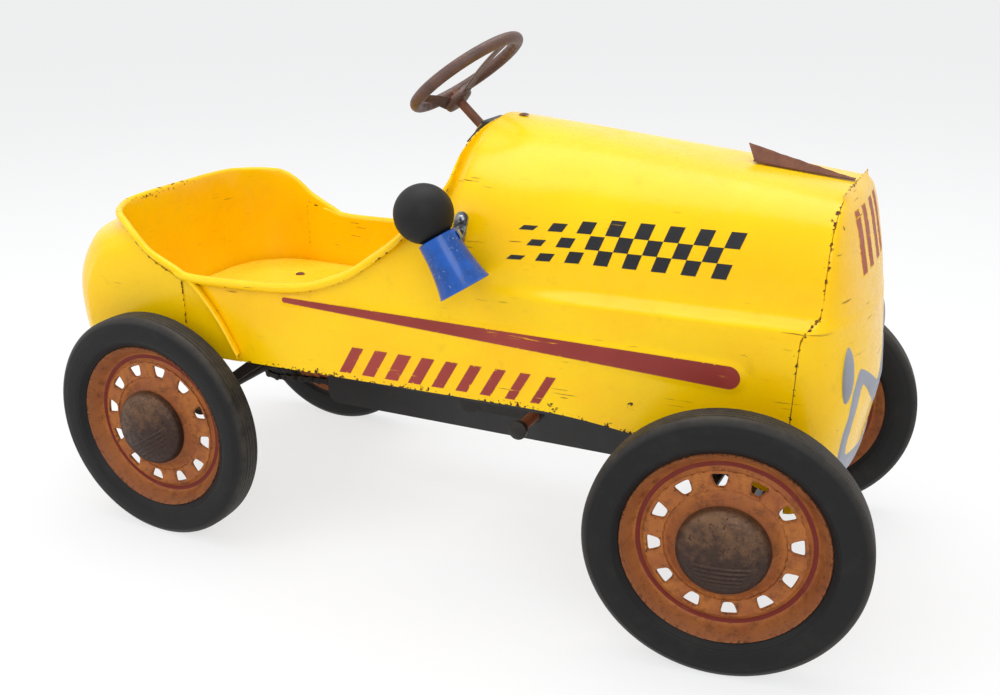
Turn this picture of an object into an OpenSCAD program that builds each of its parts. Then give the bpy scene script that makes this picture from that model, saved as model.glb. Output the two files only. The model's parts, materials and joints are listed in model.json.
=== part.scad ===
// Pedal car with a pressed steel body, chain drive and disc wheels.
// X points forward, Y to the driver's left, Z up; the ground is z = 0.

/* [Chassis] */
// Distance between the rear and the front axle
wheelbase = 632; // [600:1:660]
// Place of the rear axle behind the middle of the car
rear_axle_x = -302; // [-310:1:-295]
// Distance from the middle plane to each frame rail
rail_y = 110; // [108:0.5:114]
// Underside of the frame rails above the ground
rail_z = 190; // [186:1:194]
// Height of the frame rail section
rail_h = 14; // [10:0.5:16]
// Thickness of rails and hangers
bar_t = 4; // [3:0.5:5]
// Width of the cross members
cross_w = 20; // [14:1:24]
// Diameter of the rear axle and the stub axles
axle_d = 11; // [9:0.5:12]

/* [Wheels] */
// Outer diameter of the tyre
tyre_d = 254; // [246:1:262]
// Width of the tyre
tyre_w = 33; // [28:1:36]
// Diameter of the wheel's metal edge
wheel_d = 184; // [180:1:188]
// Space between the body side at the seat and the tyres
tyre_room = 16; // [14.5:0.5:22]
// Number of holes in the wheel disc
hole_count = 12; // [6:1:12]
// Diameter of the hubcap
hubcap_d = 84; // [76:1:88]
// Height of the hubcap dome
hubcap_h = 22; // [18:0.5:26]

/* [Body] */
// Thickness of the body sheet
sheet_t = 1; // [0.8:0.1:1.2]
// Half width of the body at the seat
seat_half_w = 147; // [144:0.5:149]
// Half width of the body at the nose seam
nose_half_w = 127; // [124:0.5:129]
// Bottom edge of the body sides
body_z = 204; // [204:1:208]
// Height of the shoulder line
shoulder_z = 312; // [304:1:318]
// Depth of the ledge above the shoulder at the nose
ledge_w = 14; // [8:0.5:18]
// Top of the hood at the cowl
cowl_z = 462; // [450:1:475]
// Top of the hood at the nose seam
hood_front_z = 420; // [410:1:430]
// Place of the cowl's rear edge
cowl_x = 44; // [38:1:50]
// Place of the nose seam
seam_x = 390; // [384:1:394]
// Place of the foremost point of the nose
prow_x = 430; // [424:1:436]
// Height of the seat pan
seat_z = 231; // [226:1:236]
// Front edge of the seat pan
seat_front_x = -150; // [-165:1:-140]
// Height of the back rest's rim
rim_z = 352; // [346:1:358]
// Inner radius of the rolled edges
bead_r = 2.6; // [2:0.1:3]
// How far the tail bulges behind the back rest
tail_bulge = 75; // [66:1:76]

/* [Steering] */
// Angle of the column from the horizontal
column_tilt = 43; // [42.5:0.1:43.5]
// Diameter of the column
column_d = 9.5; // [8:0.5:10]
// Length of the column's lower arm and of the knuckle arms
steer_arm = 48; // [46:0.5:50]
// Distance from the middle plane to each kingpin
kingpin_y = 143; // [142:0.5:145]
// Diameter of the kingpins
kingpin_d = 10; // [8:0.5:11]
// How far the wheels are turned to the left as drawn
steer_rest = 8.3; // [0:0.1:12]
// Radius of the steering wheel's rim, to the middle of its tube
wheel_rim_r = 61; // [56:1:66]
// Diameter of the rim's tube
wheel_tube_d = 12; // [9:0.5:13]

/* [Drive] */
// Number of chain links
chain_links = 64; // [62:2:64]
// Height of the crank's axis
crank_z = 162; // [158:1:166]
// Distance from the crank's axis to a pedal
crank_throw = 76; // [68:1:80]
// Diameter of the crankshaft
crank_d = 12; // [10:0.5:13]
// Teeth of the crank's sprocket
drive_teeth = 15; // [13:1:16]
// Teeth of the rear axle's sprocket
axle_teeth = 10; // [9:1:11]
// Distance from the middle plane to the chain
chain_y = 37; // [35:0.5:39]
// Pitch of the chain
chain_pitch = 12.7; // [12.5:0.1:12.8]
// Bottom edge of the chain guard
guard_z = 92; // [86:1:98]

/* [Horn] */
// Diameter of the rubber bulb
bulb_d = 56; // [48:1:58]
// Length of the bell
bell_l = 51; // [44:1:60]
// Diameter of the bell's mouth
bell_d = 50; // [44:1:54]

/* [Hidden] */
$fn = 48;

// Clearances: between bodies, between seated pieces and round a running shaft
gap = 0.4;
seat_gap = 0.2;
run_gap = 0.05;
axle_z = tyre_d / 2;
axle_r = axle_d / 2;
// Distance from the middle plane to the middle of each wheel
track_half = seat_half_w + tyre_room + tyre_w / 2;
front_axle_x = rear_axle_x + wheelbase;
cross_t = 4;
rail_top = rail_z + rail_h;
cross_top = rail_top + cross_t;
rear_cross_x = -232;
back_cross_x = -120;
front_cross_x = 138;
foot_cross_x = 238;
crosses = [rear_cross_x, back_cross_x, front_cross_x, foot_cross_x];

yellow = "gold";
black = "dimgray";
rust = "sienna";

function lerp(a, b, t) = a + (b - a) * t;
function clamp(t) = min(1, max(0, t));
function smooth(t) = clamp(t) * clamp(t) * (3 - 2 * clamp(t));
function flip(list) = [for (i = [len(list) - 1:-1:0]) list[i]];
function mirror_y(p) = [p[0], -p[1], p[2]];
function unit(v) = v / max(norm(v), 1e-9);

// Outward normal of a grid of points at row i, column j
function grid_normal(g, i, j) =
    let (
        rows = len(g),
        cols = len(g[0]),
        along = g[min(i + 1, rows - 1)][j] - g[max(i - 1, 0)][j],
        across = g[i][min(j + 1, cols - 1)] - g[i][max(j - 1, 0)]
    ) unit(cross(along, across));

// Sheet of thickness t behind a grid of outer points; is_open(i, j) leaves a square out
module sheet(g, t = sheet_t, is_open = function(i, j) false) {
    rows = len(g);
    cols = len(g[0]);
    inner = rows * cols;
    outside = [for (i = [0:rows - 1]) for (j = [0:cols - 1]) g[i][j]];
    inside = [for (i = [0:rows - 1]) for (j = [0:cols - 1]) g[i][j] - t * grid_normal(g, i, j)];
    function at(i, j) = i * cols + j;
    function solid_at(i, j) =
        i >= 0 && j >= 0 && i < rows - 1 && j < cols - 1 && !is_open(i, j);
    function wall(a, b) = [[a, b, b + inner], [a, b + inner, a + inner]];
    faces = [
        for (i = [0:rows - 2]) for (j = [0:cols - 2]) if (solid_at(i, j))
            let (a = at(i, j), b = at(i + 1, j), c = at(i + 1, j + 1), d = at(i, j + 1))
            each concat(
                [[a, c, b], [a, d, c]],
                [[a + inner, b + inner, c + inner], [a + inner, c + inner, d + inner]],
                solid_at(i, j - 1) ? [] : wall(a, b),
                solid_at(i + 1, j) ? [] : wall(b, c),
                solid_at(i, j + 1) ? [] : wall(c, d),
                solid_at(i - 1, j) ? [] : wall(d, a))];
    polyhedron(points = concat(outside, inside), faces = faces);
}

// Rolled edge: points of an arc that starts at p along up and curls towards out;
// share is how much of the full roll it makes
bead_steps = 5;
bead_turn = 250;
function bead(p, up, out, share = 1) = [
    for (k = [1:bead_steps]) let (a = share * bead_turn * k / bead_steps)
        p + bead_r * (out * (1 - cos(a)) + up * sin(a))];

// Body sides and hood
side_rear_x = -315;
side_datum_x = -300;
side_slope = (nose_half_w - seat_half_w) / (seam_x - side_datum_x);
side_angle = atan(side_slope);
function half_w(x) = seat_half_w + (x - side_datum_x) * side_slope;
ledge_h = 14;
ledge_z = shoulder_z + ledge_h;
dip_start_x = 110;
dip = 58;
function bottom_z(x) = body_z - dip * pow(clamp((x - dip_start_x) / (seam_x - dip_start_x)), 2.2);
function ledge(x) = ledge_w * smooth((x - cowl_x - 16) / 130);
function upper_w(x) = half_w(x) - ledge(x);
function hood_top(x) = lerp(cowl_z, hood_front_z, (x - cowl_x) / (seam_x - cowl_x));
round_cowl = 1.8;
round_nose = 3.0;
function roundness(x) = lerp(round_cowl, round_nose, pow(clamp((x - cowl_x) / 260), 0.8));
// Height of the hood's surface at a distance y from the middle plane
function hood_z(x, y) = let (n = roundness(x))
    ledge_z + (hood_top(x) - ledge_z) * pow(max(0, 1 - pow(abs(y) / upper_w(x), n)), 1 / n);
// Right half of a section at x: v runs from the bottom edge (0) to the middle of the hood (1)
side_v = 0.2;
ledge_v = 0.4;
function section(x, v) =
    v < side_v ? [x, -half_w(x), lerp(bottom_z(x), shoulder_z, v / side_v)] :
    v < ledge_v ? let (q = (v - side_v) / (ledge_v - side_v))
        [x, -half_w(x) + ledge(x) * (1 - cos(180 * q)) / 2, shoulder_z + ledge_h * q] :
    let (n = roundness(x), a = 90 * (v - ledge_v) / (1 - ledge_v))
        [x, -upper_w(x) * pow(cos(a), 2 / n),
         ledge_z + (hood_top(x) - ledge_z) * pow(sin(a), 2 / n)];
function v_of_z(x, z) =
    z < shoulder_z ? side_v * (z - bottom_z(x)) / (shoulder_z - bottom_z(x)) :
    z < ledge_z ? side_v + (ledge_v - side_v) * (z - shoulder_z) / ledge_h :
    ledge_v + (1 - ledge_v) / 90
        * asin(clamp(pow((z - ledge_z) / (hood_top(x) - ledge_z), roundness(x) / 2)));
// Cockpit edge: distance behind the cowl's edge and height, from the seat to the cowl
cockpit_edge = [
    [-359, 307.5], [-324, 296.5], [-298, 291.5], [-232, 292], [-190, 294], [-157, 299],
    [-130, 308], [-108, 317.5], [-84, 333], [-60, 350], [-36, 373], [-13, 401], [-9, 425], [-5.5, 444],
    [-3, 455], [0, 461]];
hood_steps = 9;
hood_stations = concat(
    [for (p = cockpit_edge) p[0] + cowl_x],
    [for (k = [1:hood_steps]) lerp(cowl_x, seam_x, k / hood_steps)]);
edge_last = len(cockpit_edge) - 1;
top_v = 0.985;
half_cols = 15;
function edge_v(i) = i <= edge_last
    ? min(top_v, v_of_z(hood_stations[i], cockpit_edge[i][1]))
    : lerp(top_v, 0.9, clamp((i - edge_last) / 3));
function half_row(i) =
    let (
        x = hood_stations[i],
        ev = edge_v(i),
        base = [for (j = [0:half_cols - 1]) section(x, ev * j / (half_cols - 1))],
        tip = base[half_cols - 1],
        up = unit(tip - section(x, ev - 0.02)),
        out = [0, -up[2], up[1]],
        share = i < 3 ? 0.04 : clamp((edge_last - i) / 4 + 0.1)
    ) i <= edge_last
        ? concat(base, bead(tip, up, out, share))
        : [for (p = concat(base, [for (k = [1:bead_steps])
            section(x, lerp(ev, top_v + 0.01, k / bead_steps))]))
            [min(p[0], seam_at(p[2]) - nose_lap - seat_gap), p[1], p[2]]];
module hood_body() {
    rows = [for (i = [0:len(hood_stations) - 1])
        let (h = half_row(i)) concat(h, [for (p = flip(h)) mirror_y(p)])];
    middle = half_cols + bead_steps - 1;
    color(yellow) sheet(rows, sheet_t, function(i, j) j == middle && i < edge_last);
}

// Nose: levels from the chin to the hood, each with its foremost point
chin_z = 142;
seam_foot_x = seam_x - 14;
mouth_z = 233;
prow_levels = [
    [chin_z, -21], [162, -14], [186, -9.5], [210, -5.5], [mouth_z, -3], [264, -5], [285, -6.5],
    [300, -8], [312, -9.5], [316, -10.3], [319, -10.9], [322, -11.4], [326, -12], [348, -16],
    [368, -20.5], [386, -24.5], [399, -28], [408, -31], [415, -35]];
prow_ledge_z = 326;
nose_round = 2.1;
nose_cols = 18;
nose_lap = 1.2;
function nose_z(level) = level[0] <= ledge_z ? level[0]
    : lerp(ledge_z, hood_front_z, (level[0] - prow_ledge_z) / 95);
function seam_at(z) = lerp(seam_foot_x, seam_x, smooth((z - shoulder_z + 8) / 28)) + nose_lap
    - 3 * clamp((shoulder_z - z) / 80);
function seam_w(z) =
    z < shoulder_z ? half_w(seam_x) :
    z < ledge_z ? half_w(seam_x) - ledge(seam_x) * (1 - cos(180 * (z - shoulder_z) / ledge_h)) / 2 :
    let (n = roundness(seam_x), q = (z - ledge_z) / (hood_front_z - ledge_z))
        upper_w(seam_x) * pow(max(0, 1 - pow(q, n)), 1 / n);
function nose_row(z, front, w) = [
    for (k = [0:nose_cols]) let (a = -90 + 180 * k / nose_cols, s = sin(a), x0 = seam_at(z))
        [x0 + (front - x0) * pow(max(0, cos(a)), 2 / nose_round),
         w * sign(s) * pow(abs(s), 2 / nose_round), z]];
module nose_shell() {
    top_w = 62;
    rows = concat(
        [for (level = prow_levels) nose_row(nose_z(level), prow_x + level[1], seam_w(nose_z(level)))],
        [[for (k = [0:nose_cols]) let (y = top_w * sin(-90 + 180 * k / nose_cols))
            [seam_x + nose_lap, y, hood_front_z]]]);
    color(yellow) sheet([for (r = rows) flip(r)]);
}

// Back rest: a bent sheet round the seat whose upper edge is a rolled rim
lap = 0.3;
back_foot_x = -392;
back_rim_x = -388;
foot_round = 75;
rim_round = 75;
back_foot_z = body_z;
// Side stretch of the rim: place and height, from the foot of the rim backwards
rim_side = [
    [-206, 211], [-214, 226], [-224, 244], [-238, 264], [-255, 284], [-273, 297],
    [-292, 306], [-311, 316]];
arc_steps = 7;
// Share of the last rise of the rim at each step round the corner
rim_rise = [0.45, 0.74, 0.83, 0.88, 0.92, 0.96, 0.98];
back_steps = 3;
side_n = len(rim_side);
// Right half of a path in plan: along the side, round the corner and to the middle
function u_path(k, back_x, r, w) =
    k < side_n ? [rim_side[k][0], -(half_w(rim_side[k][0]) + w)] :
    k < side_n + arc_steps ? let (a = 90 * (k - side_n + 1) / arc_steps, x0 = back_x + r)
        [x0 - r * sin(a), -(half_w(x0) + w - r * (1 - cos(a)))] :
    let (q = (k - side_n - arc_steps + 1) / back_steps)
        [back_x, -(half_w(back_x + r) + w - r) * (1 - q)];
path_n = side_n + arc_steps + back_steps;
function rim_height(k) =
    let (lift = rim_z - 352, foot = rim_side[side_n - 1][1] + lift)
    k < side_n ? rim_side[k][1] + lift * (k / side_n) :
    k < side_n + arc_steps ? lerp(foot, rim_z, rim_rise[k - side_n]) : rim_z;
wall_steps = 4;
back_skin = lap + sheet_t;
function back_point(k, t) =
    let (
        foot = u_path(k, back_foot_x, foot_round, back_skin),
        rim = u_path(k, back_rim_x, rim_round, back_skin),
        z = lerp(back_foot_z, rim_height(k), t)
    ) [lerp(foot[0], rim[0], t), lerp(foot[1], rim[1], t), z];
function back_row(k) =
    let (
        base = [for (j = [0:wall_steps]) back_point(k, j / wall_steps)],
        up = unit(base[wall_steps] - base[wall_steps - 1]),
        next = back_point(min(k + 1, path_n - 1), 1) - back_point(max(k - 1, 0), 1),
        out = unit(cross(up, k == path_n - 1 ? [0, 1, 0] : [next[0], next[1], 0]))
    ) concat(base, bead(base[wall_steps], up, out));
function both_sides(rows) = concat(rows, [for (k = [len(rows) - 2:-1:0])
    [for (p = rows[k]) mirror_y(p)]]);
module seat_back() {
    color(yellow) sheet(both_sides([for (k = [0:path_n - 1]) back_row(k)]));
}

// Tail: a pressed shell from just below the rim to the underside of the car
tail_first = 5;
tail_drop = 9;
tail_foot_z = 200;
tail_steps = 9;
tail_skin = back_skin + lap + sheet_t;
tail_round = 80;
function tail_back(t) = back_rim_x - tail_bulge * sin(90 * pow(clamp(t / 0.67), 0.68))
    + 5 * pow(clamp((t - 0.67) / 0.33), 2);
function tail_point(k, t) =
    let (
        top = back_point(k, (rim_height(k) - tail_drop - back_foot_z) / (rim_height(k) - back_foot_z)),
        bulged = u_path(k, tail_back(t), lerp(rim_round, tail_round, clamp(t * 3)), tail_skin),
        start = [top[0] + (k < side_n ? 0 : -lap - sheet_t), top[1] - lap - sheet_t
            * (k == path_n - 1 ? 0 : 1)],
        q = clamp(t * 9)
    ) [lerp(start[0], bulged[0], q), k == path_n - 1 ? 0 : lerp(start[1], bulged[1], q),
       lerp(top[2], tail_foot_z, t)];
module tail_shell() {
    color(yellow) sheet(both_sides([for (k = [tail_first:path_n - 1])
        [for (j = [tail_steps:-1:0]) tail_point(k, pow(j / tail_steps, 1.3))]]));
}

// Seat pan: a tray whose outline follows the foot of the back rest, clear of its lean, with
// a dimple for each bolt head
back_lean = 1.4 * (back_rim_x - back_foot_x) * (seat_z - body_z) / (rim_z - body_z);
dimple_h = 2.9;
dimple_r = 6.2;
function pan_outline(inset) =
    let (
        w = -lap - sheet_t - inset,
        x1 = seat_front_x - inset,
        rear = [for (k = [side_n - 1:path_n - 1])
            u_path(k, back_foot_x + sheet_t + back_lean + gap + inset, foot_round, w)],
        right = concat([[x1, -(half_w(x1) + w)]], rear)
    ) concat(right, [for (p = flip(right)) [p[0], -p[1]]]);
module seat_pan() {
    color(yellow) difference() {
        union() {
            difference() {
                translate([0, 0, cross_top]) linear_extrude(seat_z - cross_top)
                    polygon(pan_outline(0));
                translate([0, 0, cross_top - 1]) linear_extrude(seat_z - cross_top + 1 - sheet_t)
                    polygon(pan_outline(sheet_t));
            }
            for (p = seat_bolts) translate([p[0], p[1], seat_z - dimple_h - sheet_t])
                cylinder(r = dimple_r + sheet_t, h = dimple_h + sheet_t / 2);
        }
        for (p = seat_bolts) translate([p[0], p[1], seat_z - dimple_h])
            cylinder(r = dimple_r, h = dimple_h + 1);
        for (p = seat_bolts) translate([p[0], p[1], cross_top]) cylinder(d = 5 + 2 * gap, h = 60);
        for (s = [-1, 1]) translate([rear_cross_x, s * half_w(rear_cross_x), cross_top])
            cube([cross_w + 4, 14, 2 * (tab_h - cross_t + gap)], center = true);
    }
}
seat_bolts = [[-291, 88], [-291, -88], [rear_cross_x, 60], [rear_cross_x, -60]];
module bolt_head(d, h) {
    intersection() {
        cylinder(d = d, h = h);
        translate([0, 0, h - d * 0.9]) sphere(d * 0.9);
    }
}
module body_bolts() {
    color(rust) {
        for (p = seat_bolts) translate([p[0], p[1], seat_z - dimple_h + seat_gap]) {
            bolt_head(11, 2.5);
            translate([0, 0, -6]) cylinder(d = 5, h = 6.5);
        }
        translate([bracket_bolt_x, 0, hood_top(bracket_bolt_x - 6) + seat_gap]) bolt_head(11, 1.6);
    }
}

// Frame: rails with a rear leg to the axle bearing and a front leg to the axle beam
eye_r = 15;
bush_r = axle_r + 2.5;
leg_w = 16;
beam = 16;
rail_bend_x = -214;
module rail() {
    rotate([90, 0, 0]) translate([0, 0, -bar_t / 2]) linear_extrude(bar_t) difference() {
        union() {
            translate([rail_bend_x, rail_z]) square([front_axle_x + leg_w / 2 - rail_bend_x, rail_h]);
            translate([front_axle_x - leg_w / 2, axle_z]) square([leg_w, rail_z - axle_z + 1]);
            translate([rear_axle_x, axle_z]) circle(eye_r);
            translate([front_axle_x, axle_z]) circle(eye_r);
            polygon([[rear_axle_x + 5, axle_z + 10], [rear_axle_x + 10, axle_z + 2.5],
                [rail_bend_x + 12, rail_z + 1], [rail_bend_x + 3, rail_top - 4]]);
        }
        translate([rear_axle_x, axle_z]) circle(bush_r + run_gap);
        translate([front_axle_x, axle_z]) square(beam + 2 * seat_gap, center = true);
    }
}
module frame_rail_left() {
    color(black) translate([0, rail_y, 0]) rail();
}
module frame_rail_right() {
    color(black) translate([0, -rail_y, 0]) rail();
}
tab_h = 14;
module cross_member(x) {
    w = half_w(x) - sheet_t - seat_gap - abs(side_slope) * cross_w / 2;
    translate([x - cross_w / 2, -w, rail_top]) cube([cross_w, 2 * w, cross_t]);
    for (s = [-1, 1]) translate([x, s * (half_w(x) - sheet_t - seat_gap), rail_top])
        rotate([0, 0, s * side_angle])
            translate([-cross_w / 2, s > 0 ? -cross_t : 0, 0]) cube([cross_w, cross_t, tab_h]);
}
module cross_members() {
    color(black) for (x = crosses) cross_member(x);
}
// Chain line: pitch radii, centre distance and the crank's place
axle_pitch_r = chain_pitch / (2 * sin(180 / axle_teeth));
drive_pitch_r = chain_pitch / (2 * sin(180 / drive_teeth));
axle_eff_r = chain_pitch * axle_teeth / (2 * PI);
drive_eff_r = chain_pitch * drive_teeth / (2 * PI);
function wrap(d) = asin((drive_pitch_r - axle_pitch_r) / d);
function next_distance(d) =
    (chain_links * chain_pitch - axle_eff_r * (180 - 2 * wrap(d)) * PI / 180
        - drive_eff_r * (180 + 2 * wrap(d)) * PI / 180) / (2 * cos(wrap(d)));
function settle(d, n) = n == 0 ? d : settle(next_distance(d), n - 1);
chain_span = settle(chain_links * chain_pitch / 2, 8);
crank_x = rear_axle_x + sqrt(pow(chain_span, 2) - pow(crank_z - axle_z, 2));
crank_r = crank_d / 2;
hanger_y = 48;
hanger_r = 14;
crank_bush_r = crank_r + 2.5;
bush_l = bar_t + 3 + 2 * seat_gap;
module hanger() {
    rotate([90, 0, 0]) translate([0, 0, -bar_t / 2]) linear_extrude(bar_t) difference() {
        union() {
            translate([back_cross_x - cross_w / 2, rail_top - 12])
                square([front_cross_x - back_cross_x + cross_w, 12]);
            polygon([[crank_x - 12.6, crank_z + 5], [crank_x + 12.6, crank_z + 5],
                [crank_x + 45, rail_top - 8], [crank_x - 45, rail_top - 8]]);
            translate([crank_x, crank_z]) circle(hanger_r);
        }
        translate([crank_x, crank_z]) circle(crank_bush_r + run_gap);
    }
}
module crank_hanger_left() {
    color(black) translate([0, hanger_y, 0]) hanger();
}
module crank_hanger_right() {
    color(black) translate([0, -hanger_y, 0]) hanger();
}
// Bush along Y with a flange on its inner end
module bush(r_in, r_out, length) {
    rotate([90, 0, 0]) difference() {
        union() {
            cylinder(r = r_out, h = length, center = true);
            translate([0, 0, length / 2 - 1.5]) cylinder(r = r_out + 2.5, h = 1.5);
        }
        cylinder(r = r_in, h = length + 10, center = true);
    }
}
module crank_bushes() {
    color("darkgoldenrod") {
        translate([crank_x, hanger_y, crank_z])
            bush(crank_r + run_gap, crank_bush_r, bush_l);
        translate([crank_x, -hanger_y, crank_z])
            mirror([0, 1, 0]) bush(crank_r + run_gap, crank_bush_r, bush_l);
    }
}
module rear_bearings() {
    color("darkgoldenrod") {
        translate([rear_axle_x, rail_y, axle_z])
            bush(axle_r + run_gap, bush_r, bush_l);
        translate([rear_axle_x, -rail_y, axle_z])
            mirror([0, 1, 0]) bush(axle_r + run_gap, bush_r, bush_l);
    }
}

// Chain guard: a plate on the driver's right of the chain, under the cross members
guard_y = chain_y - 13;
guard_t = 1.5;
guard_rear_x = -215;
guard_front_x = 184;
guard_round = 14;
module chain_guard() {
    color(black) {
        translate([0, guard_y + guard_t, 0]) rotate([90, 0, 0]) linear_extrude(guard_t) difference() {
            union() {
                translate([guard_rear_x, guard_z + guard_round])
                    square([guard_front_x - guard_rear_x, rail_top - guard_z - guard_round]);
                translate([guard_rear_x + guard_round, guard_z])
                    square([guard_front_x - guard_rear_x - 2 * guard_round, guard_round + 1]);
                for (x = [guard_rear_x + guard_round, guard_front_x - guard_round])
                    translate([x, guard_z + guard_round]) circle(guard_round);
            }
            translate([crank_x, crank_z]) circle(crank_r + 3);
        }
        for (x = [back_cross_x, front_cross_x])
            translate([x - cross_w / 2, guard_y - 14, rail_top - 2]) cube([cross_w, 15, 2]);
    }
}

// Bolts that hold the rails, hangers and the guard to the cross members
frame_bolt_places = concat(
    [for (x = crosses) for (s = [-1, 1]) [x, s * (rail_y - 9)]],
    [for (x = [back_cross_x, front_cross_x]) [x, guard_y - 7]]);
module frame_bolts() {
    color(rust) for (p = frame_bolt_places) translate([p[0], p[1], cross_top + seat_gap / 2])
        bolt_head(9, 3);
}

// Front axle: a square beam with a forked end round each kingpin
fork_in = 17;
fork_t = 5;
fork_r = 11;
module fork_end() {
    translate([0, 0, -fork_in - fork_t]) difference() {
        union() {
            cylinder(r = fork_r, h = 2 * (fork_in + fork_t));
            translate([-fork_r, -kingpin_d / 2 - 12, 0])
                cube([2 * fork_r, kingpin_d / 2 + 12, 2 * (fork_in + fork_t)]);
        }
        translate([-fork_r - 1, -kingpin_d / 2 - 8, fork_t])
            cube([2 * fork_r + 2, 60, 2 * fork_in]);
        translate([0, 0, -1]) cylinder(r = kingpin_d / 2 + seat_gap / 4, h = 3 * (fork_in + fork_t));
    }
}
module front_axle() {
    color(black) translate([front_axle_x, 0, axle_z]) {
        beam_half = kingpin_y - kingpin_d / 2 - 10;
        cube([beam, 2 * beam_half, beam], center = true);
        translate([0, kingpin_y, 0]) fork_end();
        translate([0, -kingpin_y, 0]) mirror([0, 1, 0]) fork_end();
    }
}
module kingpins() {
    reach = fork_in + fork_t;
    color("silver") for (s = [-1, 1]) translate([front_axle_x, s * kingpin_y, axle_z]) {
        translate([0, 0, -reach - 6]) cylinder(d = kingpin_d, h = 2 * reach + 6 + seat_gap);
        translate([0, 0, reach + seat_gap / 2]) bolt_head(kingpin_d + 6, 4);
        translate([-9, 0, -reach - 3]) rotate([0, 90, 0]) cylinder(d = 2, h = 18);
    }
}

// Knuckle as for straight ahead, at the kingpin, with the wheel towards +Y
sleeve_h = 2 * fork_in - 2 * gap;
arm_z = -15 + gap;
arm_t = 4;
axle_out = 20;
pin_in = 3.5;
stub_l = track_half - kingpin_y + axle_out;
module knuckle() {
    difference() {
        union() {
            cylinder(d = kingpin_d + 8, h = sleeve_h, center = true);
            rotate([-90, 0, 0]) cylinder(r = axle_r, h = stub_l);
            rotate([-90, 0, 0]) cylinder(r = axle_r + 3, h = track_half - kingpin_y - hub_in - gap);
            translate([-steer_arm, -7, arm_z]) cube([steer_arm - 4, 14, arm_t]);
            translate([-steer_arm, 0, arm_z]) cylinder(r = 7, h = arm_t);
        }
        cylinder(r = kingpin_d / 2 + run_gap, h = 60, center = true);
        translate([-steer_arm, 0, arm_z - 1]) cylinder(r = tie_pin_r + run_gap, h = arm_t + 2);
        translate([0, stub_l - pin_in, -10]) cylinder(d = 2.2, h = 20);
    }
}
tie_pin_r = 3;
module knuckle_left() {
    color(black) translate([front_axle_x, kingpin_y, axle_z]) rotate([0, 0, steer_rest]) knuckle();
}
module knuckle_right() {
    color(black) translate([front_axle_x, -kingpin_y, axle_z]) rotate([0, 0, steer_rest])
        mirror([0, 1, 0]) knuckle();
}
// Washer and split pin at the outer end of a stub, in the wheel's own frame
module stub_pins() {
    rotate([-90, 0, 0]) translate([0, 0, hub_out + gap]) difference() {
        cylinder(r = axle_r + 5, h = 1.5);
        translate([0, 0, -1]) cylinder(r = axle_r + seat_gap, h = 4);
    }
    translate([0, axle_out - pin_in, -10]) cylinder(d = 2, h = 20);
}
module stub_pins_left() {
    color("silver") translate([front_axle_x, kingpin_y, axle_z]) rotate([0, 0, steer_rest])
        translate([0, track_half - kingpin_y, 0]) stub_pins();
}
module stub_pins_right() {
    color("silver") translate([front_axle_x, -kingpin_y, axle_z]) rotate([0, 0, steer_rest])
        translate([0, kingpin_y - track_half, 0]) mirror([0, 1, 0]) stub_pins();
}
// Tie rod: a bar between the knuckle arms with a fork for the column's pin
tie_t = 4;
tie_top = axle_z + arm_z - gap;
tie_x = front_axle_x - steer_arm * cos(steer_rest);
tie_shift = -steer_arm * sin(steer_rest);
pin_r = 4;
module tie_rod() {
    color(black) translate([tie_x, tie_shift, tie_top]) difference() {
        union() {
            translate([-7, -kingpin_y, -tie_t]) cube([14, 2 * kingpin_y, tie_t]);
            for (s = [-1, 1]) translate([0, s * kingpin_y, -tie_t]) cylinder(r = 7, h = tie_t);
            translate([-2, -pin_r - 10, -tie_t]) cube([4, 2 * pin_r + 20, 38]);
        }
        translate([-9, -pin_r - gap, 2]) cube([18, 2 * (pin_r + gap), 60]);
        for (s = [-1, 1]) translate([0, s * kingpin_y, -tie_t - 1]) cylinder(r = tie_pin_r + run_gap, h = 9);
    }
}
module tie_rod_bolts() {
    color("silver") for (s = [-1, 1]) translate([tie_x, tie_shift + s * kingpin_y, tie_top]) {
        translate([0, 0, -tie_t - 3]) cylinder(r = tie_pin_r, h = tie_t + arm_t + gap + 3 + seat_gap);
        translate([0, 0, -tie_t - 3 - seat_gap / 2]) cylinder(r = 5, h = 2.8);
        translate([0, 0, arm_t + gap + seat_gap]) bolt_head(10, 3);
    }
}

// Steering column: straight shaft with a crank at its foot, drawn along +Z from the cowl bearing
column_x = 16.5;
column_z = 444;
hub_back = 40;
web_at = 385;
pin_end = 424;
foot_at = 340;
module on_column() {
    translate([column_x, 0, column_z]) rotate([0, 90 + column_tilt, 0]) children();
}
module steering_column() {
    color(rust) on_column() rotate([0, 0, -steer_rest]) {
        translate([0, 0, -hub_back - 10]) cylinder(d = column_d, h = web_at + hub_back + 10);
        translate([0, 0, web_at]) sphere(d = column_d);
        translate([0, 0, web_at]) rotate([0, 90, 0]) cylinder(d = column_d, h = steer_arm);
        translate([steer_arm, 0, web_at]) sphere(d = column_d);
        translate([steer_arm, 0, web_at]) cylinder(r = pin_r, h = pin_end - web_at);
        for (z = [bush_top + gap, foot_at - 3 - gap]) translate([0, 0, z]) difference() {
            cylinder(d = column_d + 6, h = 3);
            translate([0, 0, -1]) cylinder(d = column_d - 1, h = 5);
        }
    }
}
column_bush_r = column_d / 2 + 2.2;
bush_top = 6;
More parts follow.
